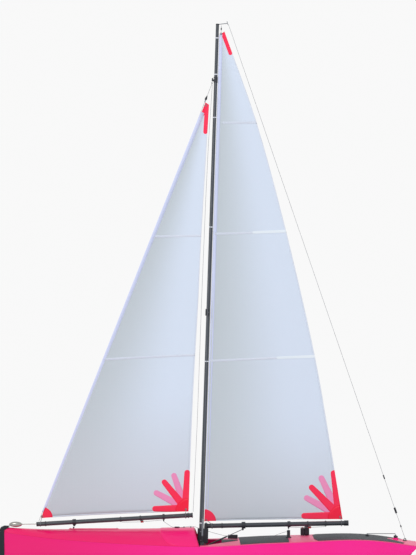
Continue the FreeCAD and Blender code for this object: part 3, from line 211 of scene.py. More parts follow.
def make_grain():
    """Fine grain: a height for bump, and a gentle change of roughness about a middle value."""
    tree, start, end = node_group(
        "fine_grain", [("Scale", "Float", 900.0), ("Stretch", "Vector", (1, 1, 1)),
                       ("Roughness", "Float", 0.4), ("Change", "Float", 0.1)],
        [("Height", "Float"), ("Roughness", "Float")])
    drawn = wire(tree, "ShaderNodeVectorMath", {0: object_place(tree), 1: start["Stretch"]},
                 operation="MULTIPLY")
    grit = noise(tree, drawn.outputs[0], start["Scale"], 2.0)
    change = math_node(tree, "MULTIPLY", math_node(tree, "SUBTRACT", grit, 0.5), start["Change"])
    tree.links.new(grit, end["Height"])
    tree.links.new(math_node(tree, "ADD", change, start["Roughness"], True), end["Roughness"])
    return tree


def make_wear_and_highlight_edges():
    """A mask that is 1 on sharp corners, broken up by noise: where a finish is rubbed pale by wear, and on
    the gelcoat a painted highlight along edges and creases.
    """
    tree, start, end = node_group(
        "wear_and_highlight_edges", [("Width", "Float", 0.0006), ("Amount", "Float", 0.5)], [("Mask", "Float")])
    surface = wire(tree, "ShaderNodeNewGeometry")
    rounded = wire(tree, "ShaderNodeBevel", {"Radius": start["Width"]}, samples=4)
    match = wire(tree, "ShaderNodeVectorMath", {0: rounded.outputs[0], 1: surface.outputs["Normal"]},
                 operation="DOT_PRODUCT").outputs["Value"]
    corner = math_node(tree, "MULTIPLY", math_node(tree, "SUBTRACT", 1.0, match), 6.0, True)
    broken = ranged(tree, noise(tree, object_place(tree), 160.0, 3.0), 0.4, 0.62)
    mask = math_node(tree, "MULTIPLY", corner, broken)
    tree.links.new(math_node(tree, "MULTIPLY", mask, start["Amount"], True), end["Mask"])
    return tree


def make_dust():
    """A mask of fine dust that has settled on surfaces that face up."""
    tree, start, end = node_group("settled_dust", [("Amount", "Float", 0.3)], [("Mask", "Float")])
    normal = wire(tree, "ShaderNodeNewGeometry").outputs["Normal"]
    up = wire(tree, "ShaderNodeSeparateXYZ", {"Vector": normal}).outputs["Z"]
    specks = ranged(tree, noise(tree, object_place(tree), 420.0, 4.0), 0.42, 0.7)
    mask = math_node(tree, "MULTIPLY", ranged(tree, up, 0.35, 1.0), specks)
    tree.links.new(math_node(tree, "MULTIPLY", mask, start["Amount"], True), end["Mask"])
    return tree


def make_weave():
    """A square weave across X and Z: a height, and a mask of the heavier threads in every few."""
    tree, start, end = node_group("square_weave", [("Threads", "Float", 900.0), ("Heavy", "Float", 8.0)],
                                  [("Height", "Float"), ("Heavy", "Float")])
    parts = wire(tree, "ShaderNodeSeparateXYZ", {"Vector": object_place(tree)})
    turn = 2 * math.pi
    waves, ribs = [], []
    for axis in ("X", "Z"):
        count = math_node(tree, "MULTIPLY", parts.outputs[axis], start["Threads"])
        waves.append(math_node(tree, "SINE", math_node(tree, "MULTIPLY", count, turn)))
        slow = math_node(tree, "DIVIDE", count, start["Heavy"])
        rib = math_node(tree, "COSINE", math_node(tree, "MULTIPLY", slow, turn))
        ribs.append(ranged(tree, rib, 0.9, 1.0))
    height = math_node(tree, "MULTIPLY", waves[0], waves[1])
    heavy = math_node(tree, "MAXIMUM", ribs[0], ribs[1])
    tree.links.new(math_node(tree, "ADD", height, heavy), end["Height"])
    tree.links.new(heavy, end["Heavy"])
    return tree


GROUPS = [make() for make in (make_drift, make_grain, make_wear_and_highlight_edges, make_dust, make_weave)]
DRIFT, GRAIN, EDGES, DUST, WEAVE = GROUPS
print("node groups:", ", ".join(group.name for group in GROUPS))

# %% [markdown]
# Every finish starts from the same plan: a drifting base colour, pale corners (wear, and on the gelcoat a
# painted highlight), a little dust on top and fine grain in the gloss and the surface. A function lays
# that plan out, and each material below calls it with its own colours and gloss, then adds what is
# special to it.

# %% The plan that the finishes share


def colour(red, green, blue):
    """An sRGB colour from 0 to 255, as linear light for a shader."""
    def linear(part):
        part /= 255
        return part / 12.92 if part <= 0.04045 else ((part + 0.055) / 1.055) ** 2.4
    return linear(red), linear(green), linear(blue), 1.0


DUST_COLOUR = colour(196, 196, 200)
BUMP_DISTANCE = 0.0005


class Finish:
    """A material with its tree, its shader and its base colour. Colours are given from 0 to 255."""

    def __init__(self, name, base, second, drift=12.0, gloss=0.4, gloss_change=0.1, grain=900.0,
                 stretch=(1, 1, 1), bump=0.02, edge=None, edge_amount=0.5, edge_width=0.0005, dust=0.0,
                 **fixed):
        self.material = bpy.data.materials.new(name)
        self.material.use_nodes = True
        self.tree = self.material.node_tree
        self.shader = self.tree.nodes["Principled BSDF"]
        for socket, value in fixed.items():
            label = socket.replace("_", " ").title().replace("Ior", "IOR")
            self.shader.inputs[label].default_value = value
        drifted = self.add(DRIFT, {"Colour": colour(*base), "Second": colour(*second), "Scale": drift})
        self.paint(drifted["Colour"])
        grained = self.add(GRAIN, {"Scale": grain, "Stretch": stretch, "Roughness": gloss,
                                   "Change": gloss_change})
        if edge:
            # Pale corners: wear on most finishes, and a painted highlight along the edges of the gelcoat.
            edge_wear_and_highlight = self.add(EDGES, {"Width": edge_width, "Amount": edge_amount})
            self.mix(edge_wear_and_highlight["Mask"], colour(*edge))
        if dust:
            self.mix(self.add(DUST, {"Amount": dust})["Mask"], DUST_COLOUR)
        self.bump(grained["Height"], bump)
        self.tree.links.new(grained["Roughness"], self.shader.inputs["Roughness"])

    def add(self, group, inputs):
        return wire(self.tree, "ShaderNodeGroup", inputs, node_tree=group).outputs

    def bump(self, height, strength):
        values = {"Height": height, "Strength": strength, "Distance": BUMP_DISTANCE}
        made = wire(self.tree, "ShaderNodeBump", values)
        self.tree.links.new(made.outputs[0], self.shader.inputs["Normal"])

    def paint(self, source):
        self.colour = source
        self.tree.links.new(source, self.shader.inputs["Base Color"])

    def mix(self, share, other):
        """Mixes a share of another colour over the base colour so far."""
        self.paint(mixed(self.tree, share, self.colour, other))


FINISHES = {}


def plain(slot, *colours, **changes):
    """Adds a finish that needs nothing beyond the shared plan."""
    FINISHES[slot] = Finish(*colours, **changes).material


# %% [markdown]
# The shell and decks are moulded in coloured plastic resin with a clear, glossy skin. The pigment is not
# perfectly even, and the skin has a faint orange-peel ripple, so a slow drift and a coat over the shader
# are used here. Each gelcoat is darkened towards the bow as painted shade, and its edges carry a pale
# painted highlight. The foredeck was moulded with the hull in the same gelcoat: its deeper pink and the
# well's darker one are painted shade, and the cowl's pink, a little lighter than the foredeck's, is
# painted light on its raised face.

# %% Hull, deck and rubber finishes


def hull_finish(name, base, second, bow_painted_shade):
    """Pigmented gelcoat, darker towards the bow as painted shade, with a pale painted highlight on its
    edges. X is in metres in the frame.
    """
    # The pale edge colour is a painted highlight along the gelcoat's edges and creases.
    made = Finish(name, base, second, drift=6.0, gloss=0.34, gloss_change=0.08, grain=130.0, bump=0.012,
                  edge=(255, 120, 190), edge_amount=0.3, coat_weight=0.22, coat_roughness=0.14,
                  specular_ior_level=0.28)
    apart = wire(made.tree, "ShaderNodeSeparateXYZ", {"Vector": object_place(made.tree)})
    # Painted shade: the pink is mixed towards a darker one from midship to the bow.
    made.mix(ranged(made.tree, apart.outputs["X"], 0.02, -0.46, kind="SMOOTHSTEP"), colour(*bow_painted_shade))
    return made.material


def patch_grey():
    """Adhesive cloth film: a fine weave pressed into a matt grey skin."""
    made = Finish("deck_patch_film", (52, 54, 59), (46, 48, 53), drift=25.0, gloss=0.62, grain=1500.0,
                  edge=(104, 106, 112), dust=0.14, specular_ior_level=0.25)
    made.bump(made.add(WEAVE, {"Threads": 700.0, "Heavy": 6.0})["Height"], 0.12)
    return made.material


FINISHES["hull_pink"] = hull_finish("hull_gelcoat", (255, 24, 150), (255, 14, 140), (238, 6, 112))
# Same gelcoat as the hull: the foredeck's deeper pink is painted shade, the cowl's slightly lighter pink is
# painted light on its raised face, and the well's dark pink is painted shade inside the recess.
FOREDECK_PINK_PAINTED_SHADE = hull_finish("foredeck_gelcoat_painted_shade", (250, 8, 112), (244, 4, 104), (240, 4, 100))
COWL_PINK_PAINTED_LIGHT = hull_finish("cowl_gelcoat_painted_light", (254, 16, 122), (250, 10, 114), (244, 6, 108))
WELL_PINK_PAINTED_SHADE = hull_finish("well_gelcoat_painted_shade", (196, 6, 96), (178, 6, 88), (170, 4, 80))
plain("deck_salmon", "deck_skin", (248, 92, 138), (240, 82, 128), drift=9.0, gloss=0.42, grain=500.0,
      bump=0.03, edge=(250, 170, 195), dust=0.1, coat_weight=0.12, coat_roughness=0.3,
      specular_ior_level=0.3)
plain("bumper_rubber", "bumper_foam_rubber", (30, 34, 40), (38, 42, 48), gloss=0.72, grain=1400.0,
      bump=0.14, edge=(78, 82, 90), edge_width=0.001, dust=0.3, specular_ior_level=0.3)
FINISHES["patch_grey"] = patch_grey()
print("hull finishes made:", len(FINISHES))

# %% [markdown]
# Spars are drawn carbon tube. The fibres run lengthwise, so the grain is stretched a hundred times along
# the tube, which gives the soft streaks and the long highlight. The mast stands up and the booms lie
# down, so each has its own direction of stretch.

# %% Spar and foil finishes


def drawn_carbon(name, stretch, base, second):
    made = Finish(name, base, second, drift=18.0, gloss=0.34, gloss_change=0.2, grain=2600.0,
                  stretch=stretch, bump=0.1, edge=(140, 144, 152), edge_amount=0.4, coat_weight=0.35,
                  coat_roughness=0.22)
    streaks = made.add(GRAIN, {"Scale": 1500.0, "Stretch": stretch, "Roughness": 0.5, "Change": 1.0})
    made.mix(math_node(made.tree, "MULTIPLY", streaks["Roughness"], 0.3, True), colour(98, 103, 112))
    return made.material


def foil_carbon():
    """Moulded carbon cloth under gloss resin: a crossed weave seen through a clear coat."""
    made = Finish("foil_carbon", (22, 24, 28), (28, 30, 35), gloss=0.3, grain=600.0, bump=0.01,
                  edge=(90, 94, 100), coat_weight=0.8, coat_roughness=0.08)
    weave = made.add(WEAVE, {"Threads": 260.0, "Heavy": 2.0})
    made.mix(math_node(made.tree, "MULTIPLY", weave["Height"], 0.16, True), colour(84, 88, 96))
    return made.material


MAST_CARBON = drawn_carbon("mast_carbon", (1, 1, 0.01), (40, 45, 52), (48, 53, 60))
FINISHES["spar_black"] = drawn_carbon("boom_carbon", (0.01, 1, 1), (34, 37, 43), (41, 44, 50))
FINISHES["foil_black"] = foil_carbon()
plain("bulb_lead", "bulb_paint", (60, 63, 68), (48, 51, 56), drift=30.0, gloss=0.42, gloss_change=0.25,
      grain=320.0, bump=0.12, edge=(150, 152, 156), edge_width=0.001, coat_weight=0.25,
      coat_roughness=0.3)
print("spar finishes made")

# %% [markdown]
# Small fittings are moulded nylon or turned metal. Nylon is nearly black, a little shiny, and goes grey
# on its corners. Wire and screws are stainless steel, the jib's balance weight is polished metal, and
# the radio gear and its tray inside the hull are plain plastic and plywood.

# %% Fittings, metal and radio finishes


def tray_ply():
    """Birch plywood: long pale grain with darker late wood."""
    made = Finish("birch_ply", (206, 172, 124), (190, 152, 104), drift=20.0, gloss=0.6, grain=500.0,
                  stretch=(0.05, 1, 1), bump=0.15, edge=(224, 200, 160))
    late = made.add(GRAIN, {"Scale": 260.0, "Stretch": (0.04, 1, 1), "Roughness": 0.4, "Change": 1.6})
    made.mix(math_node(made.tree, "MULTIPLY", late["Roughness"], 0.5, True), colour(150, 108, 66))
    return made.material


plain("fitting_black", "nylon_black", (34, 37, 43), (42, 45, 52), drift=60.0, gloss=0.46,
      gloss_change=0.25, grain=1800.0, bump=0.08, edge=(116, 120, 128), edge_amount=0.7)
plain("ring_white", "nylon_white", (224, 226, 232), (212, 214, 222), gloss=0.4, grain=1500.0, bump=0.05,
      edge=(250, 250, 252))
plain("button_red", "switch_cap_red", (206, 26, 36), (186, 20, 30), gloss=0.3, grain=900.0, bump=0.04,
      edge=(240, 120, 120))
plain("wire_steel", "stainless_steel", (132, 135, 141), (114, 117, 123), drift=120.0, gloss=0.42,
      gloss_change=0.2, grain=3000.0, bump=0.06, metallic=0.4)
plain("line_grey", "braided_line", (140, 142, 148), (116, 118, 124), drift=700.0, gloss=0.75,
      grain=4000.0, bump=0.4, sheen_weight=0.3)
plain("weight_metal", "polished_weight", (182, 179, 172), (166, 163, 156), drift=50.0, gloss=0.24,
      gloss_change=0.12, grain=700.0, bump=0.01, metallic=0.85)
plain("radio_plastic", "radio_case_plastic", (28, 29, 33), (36, 37, 42), gloss=0.5, grain=2200.0,
      bump=0.16, edge=(96, 98, 104))
plain("battery_wrap", "shrink_wrap_blue", (34, 70, 140), (28, 58, 122), gloss=0.25, grain=90.0, bump=0.1,
      edge=(120, 150, 210))
FINISHES["tray_ply"] = tray_ply()
BOWSIE_RED = Finish("anodised_red", (196, 28, 40), (168, 20, 34), drift=80.0, gloss=0.3, grain=2000.0,
                    bump=0.05, edge=(236, 150, 150), metallic=0.6).material
print("finishes so far:", len(FINISHES))

# %% [markdown]
# Sails for a boat of this size are cut from thin translucent film, not from woven canvas. Film is stiff
# and slightly cloudy: it lets some light through and shows a fine grid of reinforcing threads when
# looked at closely. The cloudy look comes from an Alpha just under 1. The film is painted greyer near the
# luff, as painted shade where the belly turns away near the mast, and lighter towards the leech; that
# change across the sail comes from its UV map, which runs from luff to leech.

# %% Sail finishes
SAIL_ALPHA = 0.93


def sail_film(name, luff_painted_shade, near_leech, foot):
    made = Finish(name, luff_painted_shade, luff_painted_shade, drift=3.0, gloss=0.45, gloss_change=0.12, grain=260.0,
                  bump=0.02, alpha=SAIL_ALPHA, specular_ior_level=0.35)
    place = wire(made.tree, "ShaderNodeTexCoord").outputs["UV"]
    along = wire(made.tree, "ShaderNodeSeparateXYZ", {"Vector": place}).outputs
    # Painted shade and light: greyer near the luff where the belly turns away, lighter towards the leech.
    spread = ranged(made.tree, along["X"], 0.04, 0.8, kind="SMOOTHSTEP")
    made.paint(mixed(made.tree, spread, colour(*luff_painted_shade), colour(*near_leech)))
    made.mix(ranged(made.tree, along["Y"], 0.0, 0.3, 0.75, 0.0, "SMOOTHSTEP"), colour(*foot))
    weave = made.add(WEAVE, {"Threads": 500.0, "Heavy": 4.0})
    made.mix(math_node(made.tree, "MULTIPLY", weave["Heavy"], 0.05), colour(236, 240, 250))
    made.bump(weave["Height"], 0.03)
    return made.material


def plain_film(name, base, second, **changes):
    values = {"gloss": 0.4, "grain": 700.0, "bump": 0.03, "specular_ior_level": 0.35, **changes}
    return Finish(name, base, second, drift=8.0, **values).material


FINISHES["sailcloth"] = sail_film("sail_film", (204, 211, 217), (219, 228, 243), (206, 210, 217))
LUFF_BAND = plain_film("luff_band_film", (220, 225, 252), (214, 220, 248))
SEAM_FILM = plain_film("seam_film", (224, 229, 240), (218, 223, 236))
BATTEN_FILM = plain_film("batten_film", (232, 238, 244), (226, 233, 240), gloss=0.3)
STITCH = Finish("stitch_thread", (176, 180, 196), (166, 170, 188), gloss=0.8, grain=3000.0,
                bump=0.3).material
PATCH_RED = plain_film("patch_red_film", (255, 40, 84), (252, 32, 76))
PATCH_DEEP = plain_film("patch_deep_red_film", (252, 8, 62), (246, 4, 56))
PATCH_PINK = plain_film("patch_pink_film", (240, 146, 190), (236, 138, 184))
print("sail finishes made")

# %% [markdown]
# The CAD pieces keep their shapes and take these finishes. The record says which finish each piece has,
# so a loop is enough, and a few pieces then get a variant: the mast's streaks run upwards, and the
# foredeck and the well get deeper pinks of the same gelcoat as painted shade.

# %% Finish the CAD pieces
VARIANTS = {"mast_tube": MAST_CARBON, "foredeck": FOREDECK_PINK_PAINTED_SHADE, "foredeck_bulkhead": WELL_PINK_PAINTED_SHADE,
            "mast_well": WELL_PINK_PAINTED_SHADE, "chainplates": FINISHES["fitting_black"]}


def paint_node(node, material):
    for slot in frame["nodes"][node].material_slots:
        slot.material = material


for part in frame["record"]["subparts"]:
    name = part["node"]
    paint_node(name, VARIANTS.get(name, FINISHES[part["material_slot"]]))

# %% [markdown]
# The new pieces are grids of points, closed into thin shells. Three helpers do most of it: one makes a mesh
# from points and faces, puts a finish on it and lets it ride on a body, one joins rows of points into
# faces, and one closes two grids into a shell.

# %% Helpers for new pieces


def new_piece(name, points, faces, material, body=None):
    mesh = bpy.data.meshes.new(name)
    mesh.from_pydata([tuple(point) for point in points], [], faces)
    tidy = bmesh.new()
    tidy.from_mesh(mesh)
    bmesh.ops.remove_doubles(tidy, verts=tidy.verts, dist=1e-7)
    bmesh.ops.recalc_face_normals(tidy, faces=tidy.faces)
    tidy.to_mesh(mesh)
    tidy.free()
    mesh.shade_smooth()
    mesh.materials.append(material)
    piece = bpy.data.objects.new(name, mesh)
    bpy.context.scene.collection.objects.link(piece)
    if body:
        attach(piece, body)
    return piece


def grid_faces(rows, columns, closed=False):
    """Quads between neighbouring rows of points. A closed grid joins each row's end to its start."""
    faces = []
    for row in range(rows - 1):
        for column in range(columns if closed else columns - 1):
            a = row * columns + column
            b = row * columns + (column + 1) % columns
            faces.append((a, b, b + columns, a + columns))
    return faces


def shell(name, near, far, columns, material, body):
    """A closed thin piece between two grids of points that have the same rows and columns."""
    count = len(near)
    rows = count // columns
    faces = grid_faces(rows, columns)
    faces += [tuple(count + i for i in reversed(face)) for face in faces]
    rim = list(range(columns)) + [row * columns + columns - 1 for row in range(1, rows)]
    rim += [count - 1 - i for i in range(1, columns)]
    rim += [row * columns for row in range(rows - 2, 0, -1)]
    for a, b in zip(rim, rim[1:] + rim[:1]):
        faces.append((a, b, b + count, a + count))
    return new_piece(name, near + far, faces, material, body)


# %% [markdown]
# ## The sails
# A sail hangs between its luff, the front edge, and its leech, the back edge, and bellies out between
# them. Cloth simulation could blow it into shape, but the real sail is cut and set to a known curve: a
# depth that is a share of the chord, deepest a little ahead of the middle, with the top twisted off. So
# the surface is written as that formula, on the same edges as the frame's sails, and every seam, batten
# and patch is then laid on the same surface.

# %% Shape of a sail
MAST_FOOT = Vector((-48, 0, 92)) * MM
MAST_RAKE = math.radians(1.84)
MAST_LENGTH = 1253 * MM
MAST_RADIUS, MAST_TIP_RADIUS = 5.4 * MM, 3.9 * MM


def on_mast(along, aft=0.0, side=0.0):
    """A point in the mast's own frame: along it, aft of its axis and to starboard."""
    up = Vector((math.sin(MAST_RAKE), 0, math.cos(MAST_RAKE)))
    back = Vector((math.cos(MAST_RAKE), 0, -math.sin(MAST_RAKE)))
    return MAST_FOOT + up * along + back * aft + Vector((0, side, 0))


def smooth_through(points, share):
    """A point on a smooth curve through evenly numbered points, from share 0 to 1."""
    last = len(points) - 1
    place = min(max(share, 0.0), 1.0) * last
    i = min(int(place), last - 1)
    t = place - i
    p1, p2 = points[i], points[i + 1]
    p0 = points[i - 1] if i else p1 * 2 - p2
    p3 = points[i + 2] if i + 2 <= last else p2 * 2 - p1
    return (p1 * 2 + (p2 - p0) * t + (p0 * 2 - p1 * 5 + p2 * 4 - p3) * t * t
            + (p1 * 3 - p0 - p2 * 3 + p3) * t * t * t) / 2


class Sail:
    """A cambered surface between two edges. u runs from luff to leech, v from foot to head."""

    def __init__(self, body, luff, leech, camber, twist):
        self.body, self.luff, self.leech = body, luff, leech
        self.camber, self.twist = camber, twist
        self.sewn = []

    def chord(self, v):
        return smooth_through(self.luff, v), smooth_through(self.leech, v)

    def at(self, u, v):
        front, back = self.chord(v)
        span = (back - front).length
        depth = self.camber * span * (1 - 0.35 * (1 - v) ** 4)
        belly = depth * math.sin(math.pi * max(u, 0.0) ** 0.85) + self.twist * v * span * u * u
        return front + (back - front) * u + Vector((0, belly, 0))

    def find(self, x, z):
        """The (u, v) of the cloth seen at x, z from the side, kept inside its edges."""
        low, high = 0.0, 1.0
        for _ in range(30):
            v = (low + high) / 2
            front, back = self.chord(v)
            share = (x - front.x) / (back.x - front.x)
            if front.z + (back.z - front.z) * share < z:
                low = v
            else:
                high = v
        front, back = self.chord(v)
        return min(max((x - front.x) / (back.x - front.x), 0.0), 1.0), v

    def lay(self, name, places, columns, thickness, material):
        """A thin piece laid through the cloth at (u, v) places, so that it shows on both faces."""
        half = Vector((0, thickness / 2, 0))
        points = [self.at(u, v) for u, v in places]
        piece = shell(name, [point - half for point in points], [point + half for point in points],
                      columns, material, self.body)
        self.sewn.append(piece)
        return piece

    def film(self, name, rows, thickness, material):
        """The same, from rows of (x, z) in mm as seen from the side."""
        places = [self.find(x * MM, z * MM) for row in rows for x, z in row]
        return self.lay(name, places, len(rows[0]), thickness, material)


MAIN_LEECH = [(291.0, 163.5), (262.5, 338.0), (223.6, 559.8), (155.9, 853.6), (85.9, 1111.0),
              (8.9, 1329.0)]
MAIN_LUFF_HEIGHTS = [158.4, 325.0, 545.0, 848.0, 1110.0, 1321.0]
JIB_LEECH = [(-77.0, 182.0), (-69.0, 400.4), (-61.3, 553.4), (-53.7, 687.2), (-46.7, 837.8),
             (-28.0, 1154.0)]
JIB_TACK, JIB_HEAD = Vector((-429.8, 0, 166.0)) * MM, Vector((-36.6, 0, 1159.5)) * MM
LUFF_GAP = 1.15 * MM


def flat_points(pairs):
    return [Vector((x, 0, z)) * MM for x, z in pairs]


def main_luff_points():
    points = []
    for height in MAIN_LUFF_HEIGHTS:
        along = (height * MM - MAST_FOOT.z) / math.cos(MAST_RAKE)
        share = along / MAST_LENGTH
        radius = MAST_RADIUS * (1 - share) + MAST_TIP_RADIUS * share
        points.append(on_mast(along, radius + LUFF_GAP))
    return points


def jib_luff_points():
    low, high = JIB_LEECH[0][1], JIB_LEECH[-1][1]
    return [JIB_TACK + (JIB_HEAD - JIB_TACK) * ((z - low) / (high - low)) for x, z in JIB_LEECH]


MAIN = Sail("main_rig", main_luff_points(), flat_points(MAIN_LEECH), 0.085, 0.05)
JIB = Sail("jib_rig", jib_luff_points(), flat_points(JIB_LEECH), 0.085, 0.03)
print("main foot %.0f mm, jib foot %.0f mm" % ((MAIN.at(1, 0) - MAIN.at(0, 0)).length / MM,
                                              (JIB.at(1, 0) - JIB.at(0, 0)).length / MM))

# %% [markdown]
# Each cloth is one grid on that surface with a UV map along and up it, thickened to a third of a
# millimetre by a Solidify modifier. Its flat area is added up from the chords, as a sailmaker would
# measure the cut.

# %% Cloth of the two sails
CLOTH_THICKNESS = 0.3 * MM
ACROSS, UPWARDS = 36, 110


def sail_cloth(name, sail, node):
    points = [sail.at(i / ACROSS, j / UPWARDS) for j in range(UPWARDS + 1) for i in range(ACROSS + 1)]
    cloth = new_piece(name, points, grid_faces(UPWARDS + 1, ACROSS + 1), FINISHES["sailcloth"], sail.body)
    uv_map = cloth.data.uv_layers.new(name="luff_to_leech")
    for loop in cloth.data.loops:
        point = cloth.data.vertices[loop.vertex_index].co
        uv_map.data[loop.index].uv = sail.find(point.x, point.z)
    thick = cloth.modifiers.new("film", "SOLIDIFY")
    thick.thickness = CLOTH_THICKNESS
    thick.offset = 0
    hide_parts(node)
    return cloth


def cut_area(sail, steps=200):
    total = 0.0
    for i in range(steps):
        front, back = sail.chord((i + 0.5) / steps)
        rise = sail.chord((i + 1) / steps)[1].z - sail.chord(i / steps)[1].z
        total += (back - front).length * rise
    return total


mainsail = sail_cloth("mainsail_cloth", MAIN, "mainsail")
jib = sail_cloth("jib_cloth", JIB, "jib_sail")
print("cut areas: main %.4f, jib %.4f square metres" % (cut_area(MAIN), cut_area(JIB)))

# %% [markdown]
# Sailmakers strengthen a corner with fingers of coloured film that fan out from it, so that the load is
# spread into the cloth. On this boat each lower aft corner has five: three red ones, with two pink ones
# between them. A finger is a strip that narrows a little towards a round tip. Each new layer is slightly
# thicker than the last, so that overlapping films never share a surface.

# %% Corner fingers
LAYER = 0.12 * MM


def layer(number):
    """The thickness of a film that lies over the cloth as its first, second or later layer."""
    return CLOTH_THICKNESS + LAYER * number


def finger_rows(root, tip, root_half, tip_half, steps=14, columns=7):
    """Rows of (x, z) across a strip from its root to a round tip."""
    way = Vector((tip[0] - root[0], tip[1] - root[1]))
    length = way.length
    way.normalize()
    side = Vector((way.y, -way.x))
    straight = length - tip_half
    rows = []
    stations = [(straight * i / steps, 1.0) for i in range(steps + 1)]
    stations += [(straight + tip_half * math.sin(a), math.cos(a)) for a in
                 (math.radians(90 * i / 6) for i in range(1, 7))]
    for along, shrink in stations:
        half = (root_half + (tip_half - root_half) * min(along / straight, 1.0)) * max(shrink, 0.02)
        centre = Vector(root) + way * along
        rows.append([tuple(centre + side * half * (2 * j / (columns - 1) - 1)) for j in range(columns)])
    return rows


def corner_fan(name, sail, root, tips, root_half, tip_half):
    """Five fingers, pink ones first so that the red ones lie on top."""
    colours = [PATCH_RED, PATCH_PINK, PATCH_RED, PATCH_PINK, PATCH_RED]
    for number, i in enumerate((1, 3, 0, 2, 4), 1):
        rows = finger_rows(root, tips[i], root_half, tip_half)
        sail.film("%s_finger_%d" % (name, i + 1), rows, layer(number), colours[i])


def corner_quarter(name, sail, corner, radius, first, last, material, number, steps=16, rings=6):
    """A patch with a round outer edge about a corner, between two angles from the aft direction."""
    rows = []
    for i in range(steps + 1):
        angle = math.radians(first + (last - first) * i / steps)
        rows.append([(corner[0] + radius * j / rings * math.cos(angle),
                      corner[1] + radius * j / rings * math.sin(angle)) for j in range(rings + 1)])
    sail.film(name, rows, layer(number), material)


# Each row: sail, name, root and tips of its fan, half widths, then corner, radius and two angles.
CORNERS = (
    (MAIN, "main", (284, 171), [(269, 280), (238, 267), (213, 243), (200, 216), (193, 170)], 10.5, 6.9,
     ((293, 161), 38, 90, 180), ((-42, 156.5), 31, -6, 96)),
    (JIB, "jib", (-84, 189), [(-80, 281), (-114, 273), (-139, 256), (-160, 228), (-164, 187)], 9.5, 6.6,
     ((-76, 181), 33, 88, 186), ((-430, 165.5), 28, -6, 75)))
for sail, word, root, tips, root_half, tip_half, clew, tack in CORNERS:
    corner_fan(word + "_clew", sail, root, tips, root_half, tip_half)
    corner_quarter(word + "_clew_corner", sail, *clew, PATCH_DEEP, 6)
    corner_quarter(word + "_tack_patch", sail, *tack, PATCH_RED, 7)
print("corner films:", len(MAIN.sewn) + len(JIB.sewn))

# %% [markdown]
# The head of each sail has two fingers only: a short one down the luff and a long one down the leech.
# They are all red, and meet at the head's eyelet.

# %% Head fingers
HEADS = ((MAIN, "main_head_luff_finger", (0, 1331), (-2, 1300), 6.0, 5.0),
         (MAIN, "main_head_leech_finger", (3, 1333), (24.5, 1273), 5.2, 4.4),
         (JIB, "jib_head_luff_finger", (-35, 1162), (-46, 1127), 5.0, 5.4),
         (JIB, "jib_head_leech_finger", (-32, 1160), (-37, 1084), 5.4, 5.0))
for number, (sail, name, *finger) in enumerate(HEADS, 1):
    sail.film(name, finger_rows(*finger), layer(number), PATCH_RED)
print("head films made")

# %% [markdown]
# Each sail is made of three panels of film. Where two panels overlap, the double layer is a paler band
# with a row of zigzag stitches along it, and a stiff batten lies in the leech end of the two lower bands
# of the mainsail. The luff is folded back on itself. On the mainsail it is a flat band close behind the
# mast, and on the jib it is a pocket that wraps round the steel stay.

# %% Tubes and lines


def line_mesh(name, points, radius, material, body=None, closed=False, rings=6):
    """A round line on one smooth curve with these control points, in metres."""
    data = bpy.data.curves.new(name, "CURVE")
    data.dimensions = "3D"
    data.bevel_depth = radius
    data.bevel_resolution = rings // 2
    data.use_fill_caps = not closed
    data.resolution_u = 8
    spline = data.splines.new("NURBS")
    spline.points.add(len(points) - 1)
    for control, point in zip(spline.points, points):
        control.co = (*point, 1)
    spline.order_u = 3
    spline.use_endpoint_u = not closed
    spline.use_cyclic_u = closed
    maker = bpy.data.objects.new(name + "_curve", data)
    bpy.context.scene.collection.objects.link(maker)
    bpy.context.view_layer.update()
    mesh = bpy.data.meshes.new_from_object(maker.evaluated_get(bpy.context.evaluated_depsgraph_get()))
    bpy.data.objects.remove(maker)
    piece = new_piece(name, [vertex.co.copy() for vertex in mesh.vertices],
                      [tuple(face.vertices) for face in mesh.polygons], material, body)
    bpy.data.meshes.remove(mesh)
    return piece


# %% Seams, stitches and battens
SEAM_WIDTH = 5.5
STITCH_RADIUS = 0.16 * MM
STITCH_STEP = 2.6
SEAM_RISE, BATTEN_RISE = 0.3 * MM, 1.3 * MM


def strip_rows(start, end, width, steps=30):
    """Rows of (x, z) along a straight strip of even width."""
    way = (Vector(end) - Vector(start)).normalized()
    side = Vector((-way.y, way.x)) * width / 2
    rows = []
    for i in range(steps + 1):
        centre = Vector(start).lerp(Vector(end), i / steps)
        rows.append([tuple(centre - side), tuple(centre), tuple(centre + side)])
    return rows


def stitches(name, sail, start, end, width, thickness):
    """A zigzag of thread on the port face of a seam."""
    way = Vector(end) - Vector(start)
    side = Vector((-way.y, way.x)).normalized() * width * 0.3
    count = max(4, int(way.length / STITCH_STEP))
    points = []
    for i in range(count + 1):
        spot = Vector(start) + way * (0.01 + 0.98 * i / count) + side * (1 if i % 2 else -1)
        points.append(sail.at(*sail.find(spot.x * MM, spot.y * MM)) - Vector((0, thickness / 2, 0)))
    return line_mesh(name, points, STITCH_RADIUS, STITCH, sail.body, rings=2)


def seam(name, sail, start, end):
    thickness = CLOTH_THICKNESS + SEAM_RISE
    sail.film(name, strip_rows(start, end, SEAM_WIDTH), thickness, SEAM_FILM)
    sail.sewn.append(stitches(name + "_stitches", sail, start, end, SEAM_WIDTH, thickness))


def batten(name, sail, start, end):
    piece = sail.film(name, finger_rows(end, start, 3.4, 3.2), CLOTH_THICKNESS + BATTEN_RISE,
                      BATTEN_FILM)
    bevel = piece.modifiers.new("softened", "BEVEL")
    bevel.width = 0.3 * MM
    bevel.segments = 2
    bevel.limit_method = "ANGLE"
    bevel.angle_limit = math.radians(30)


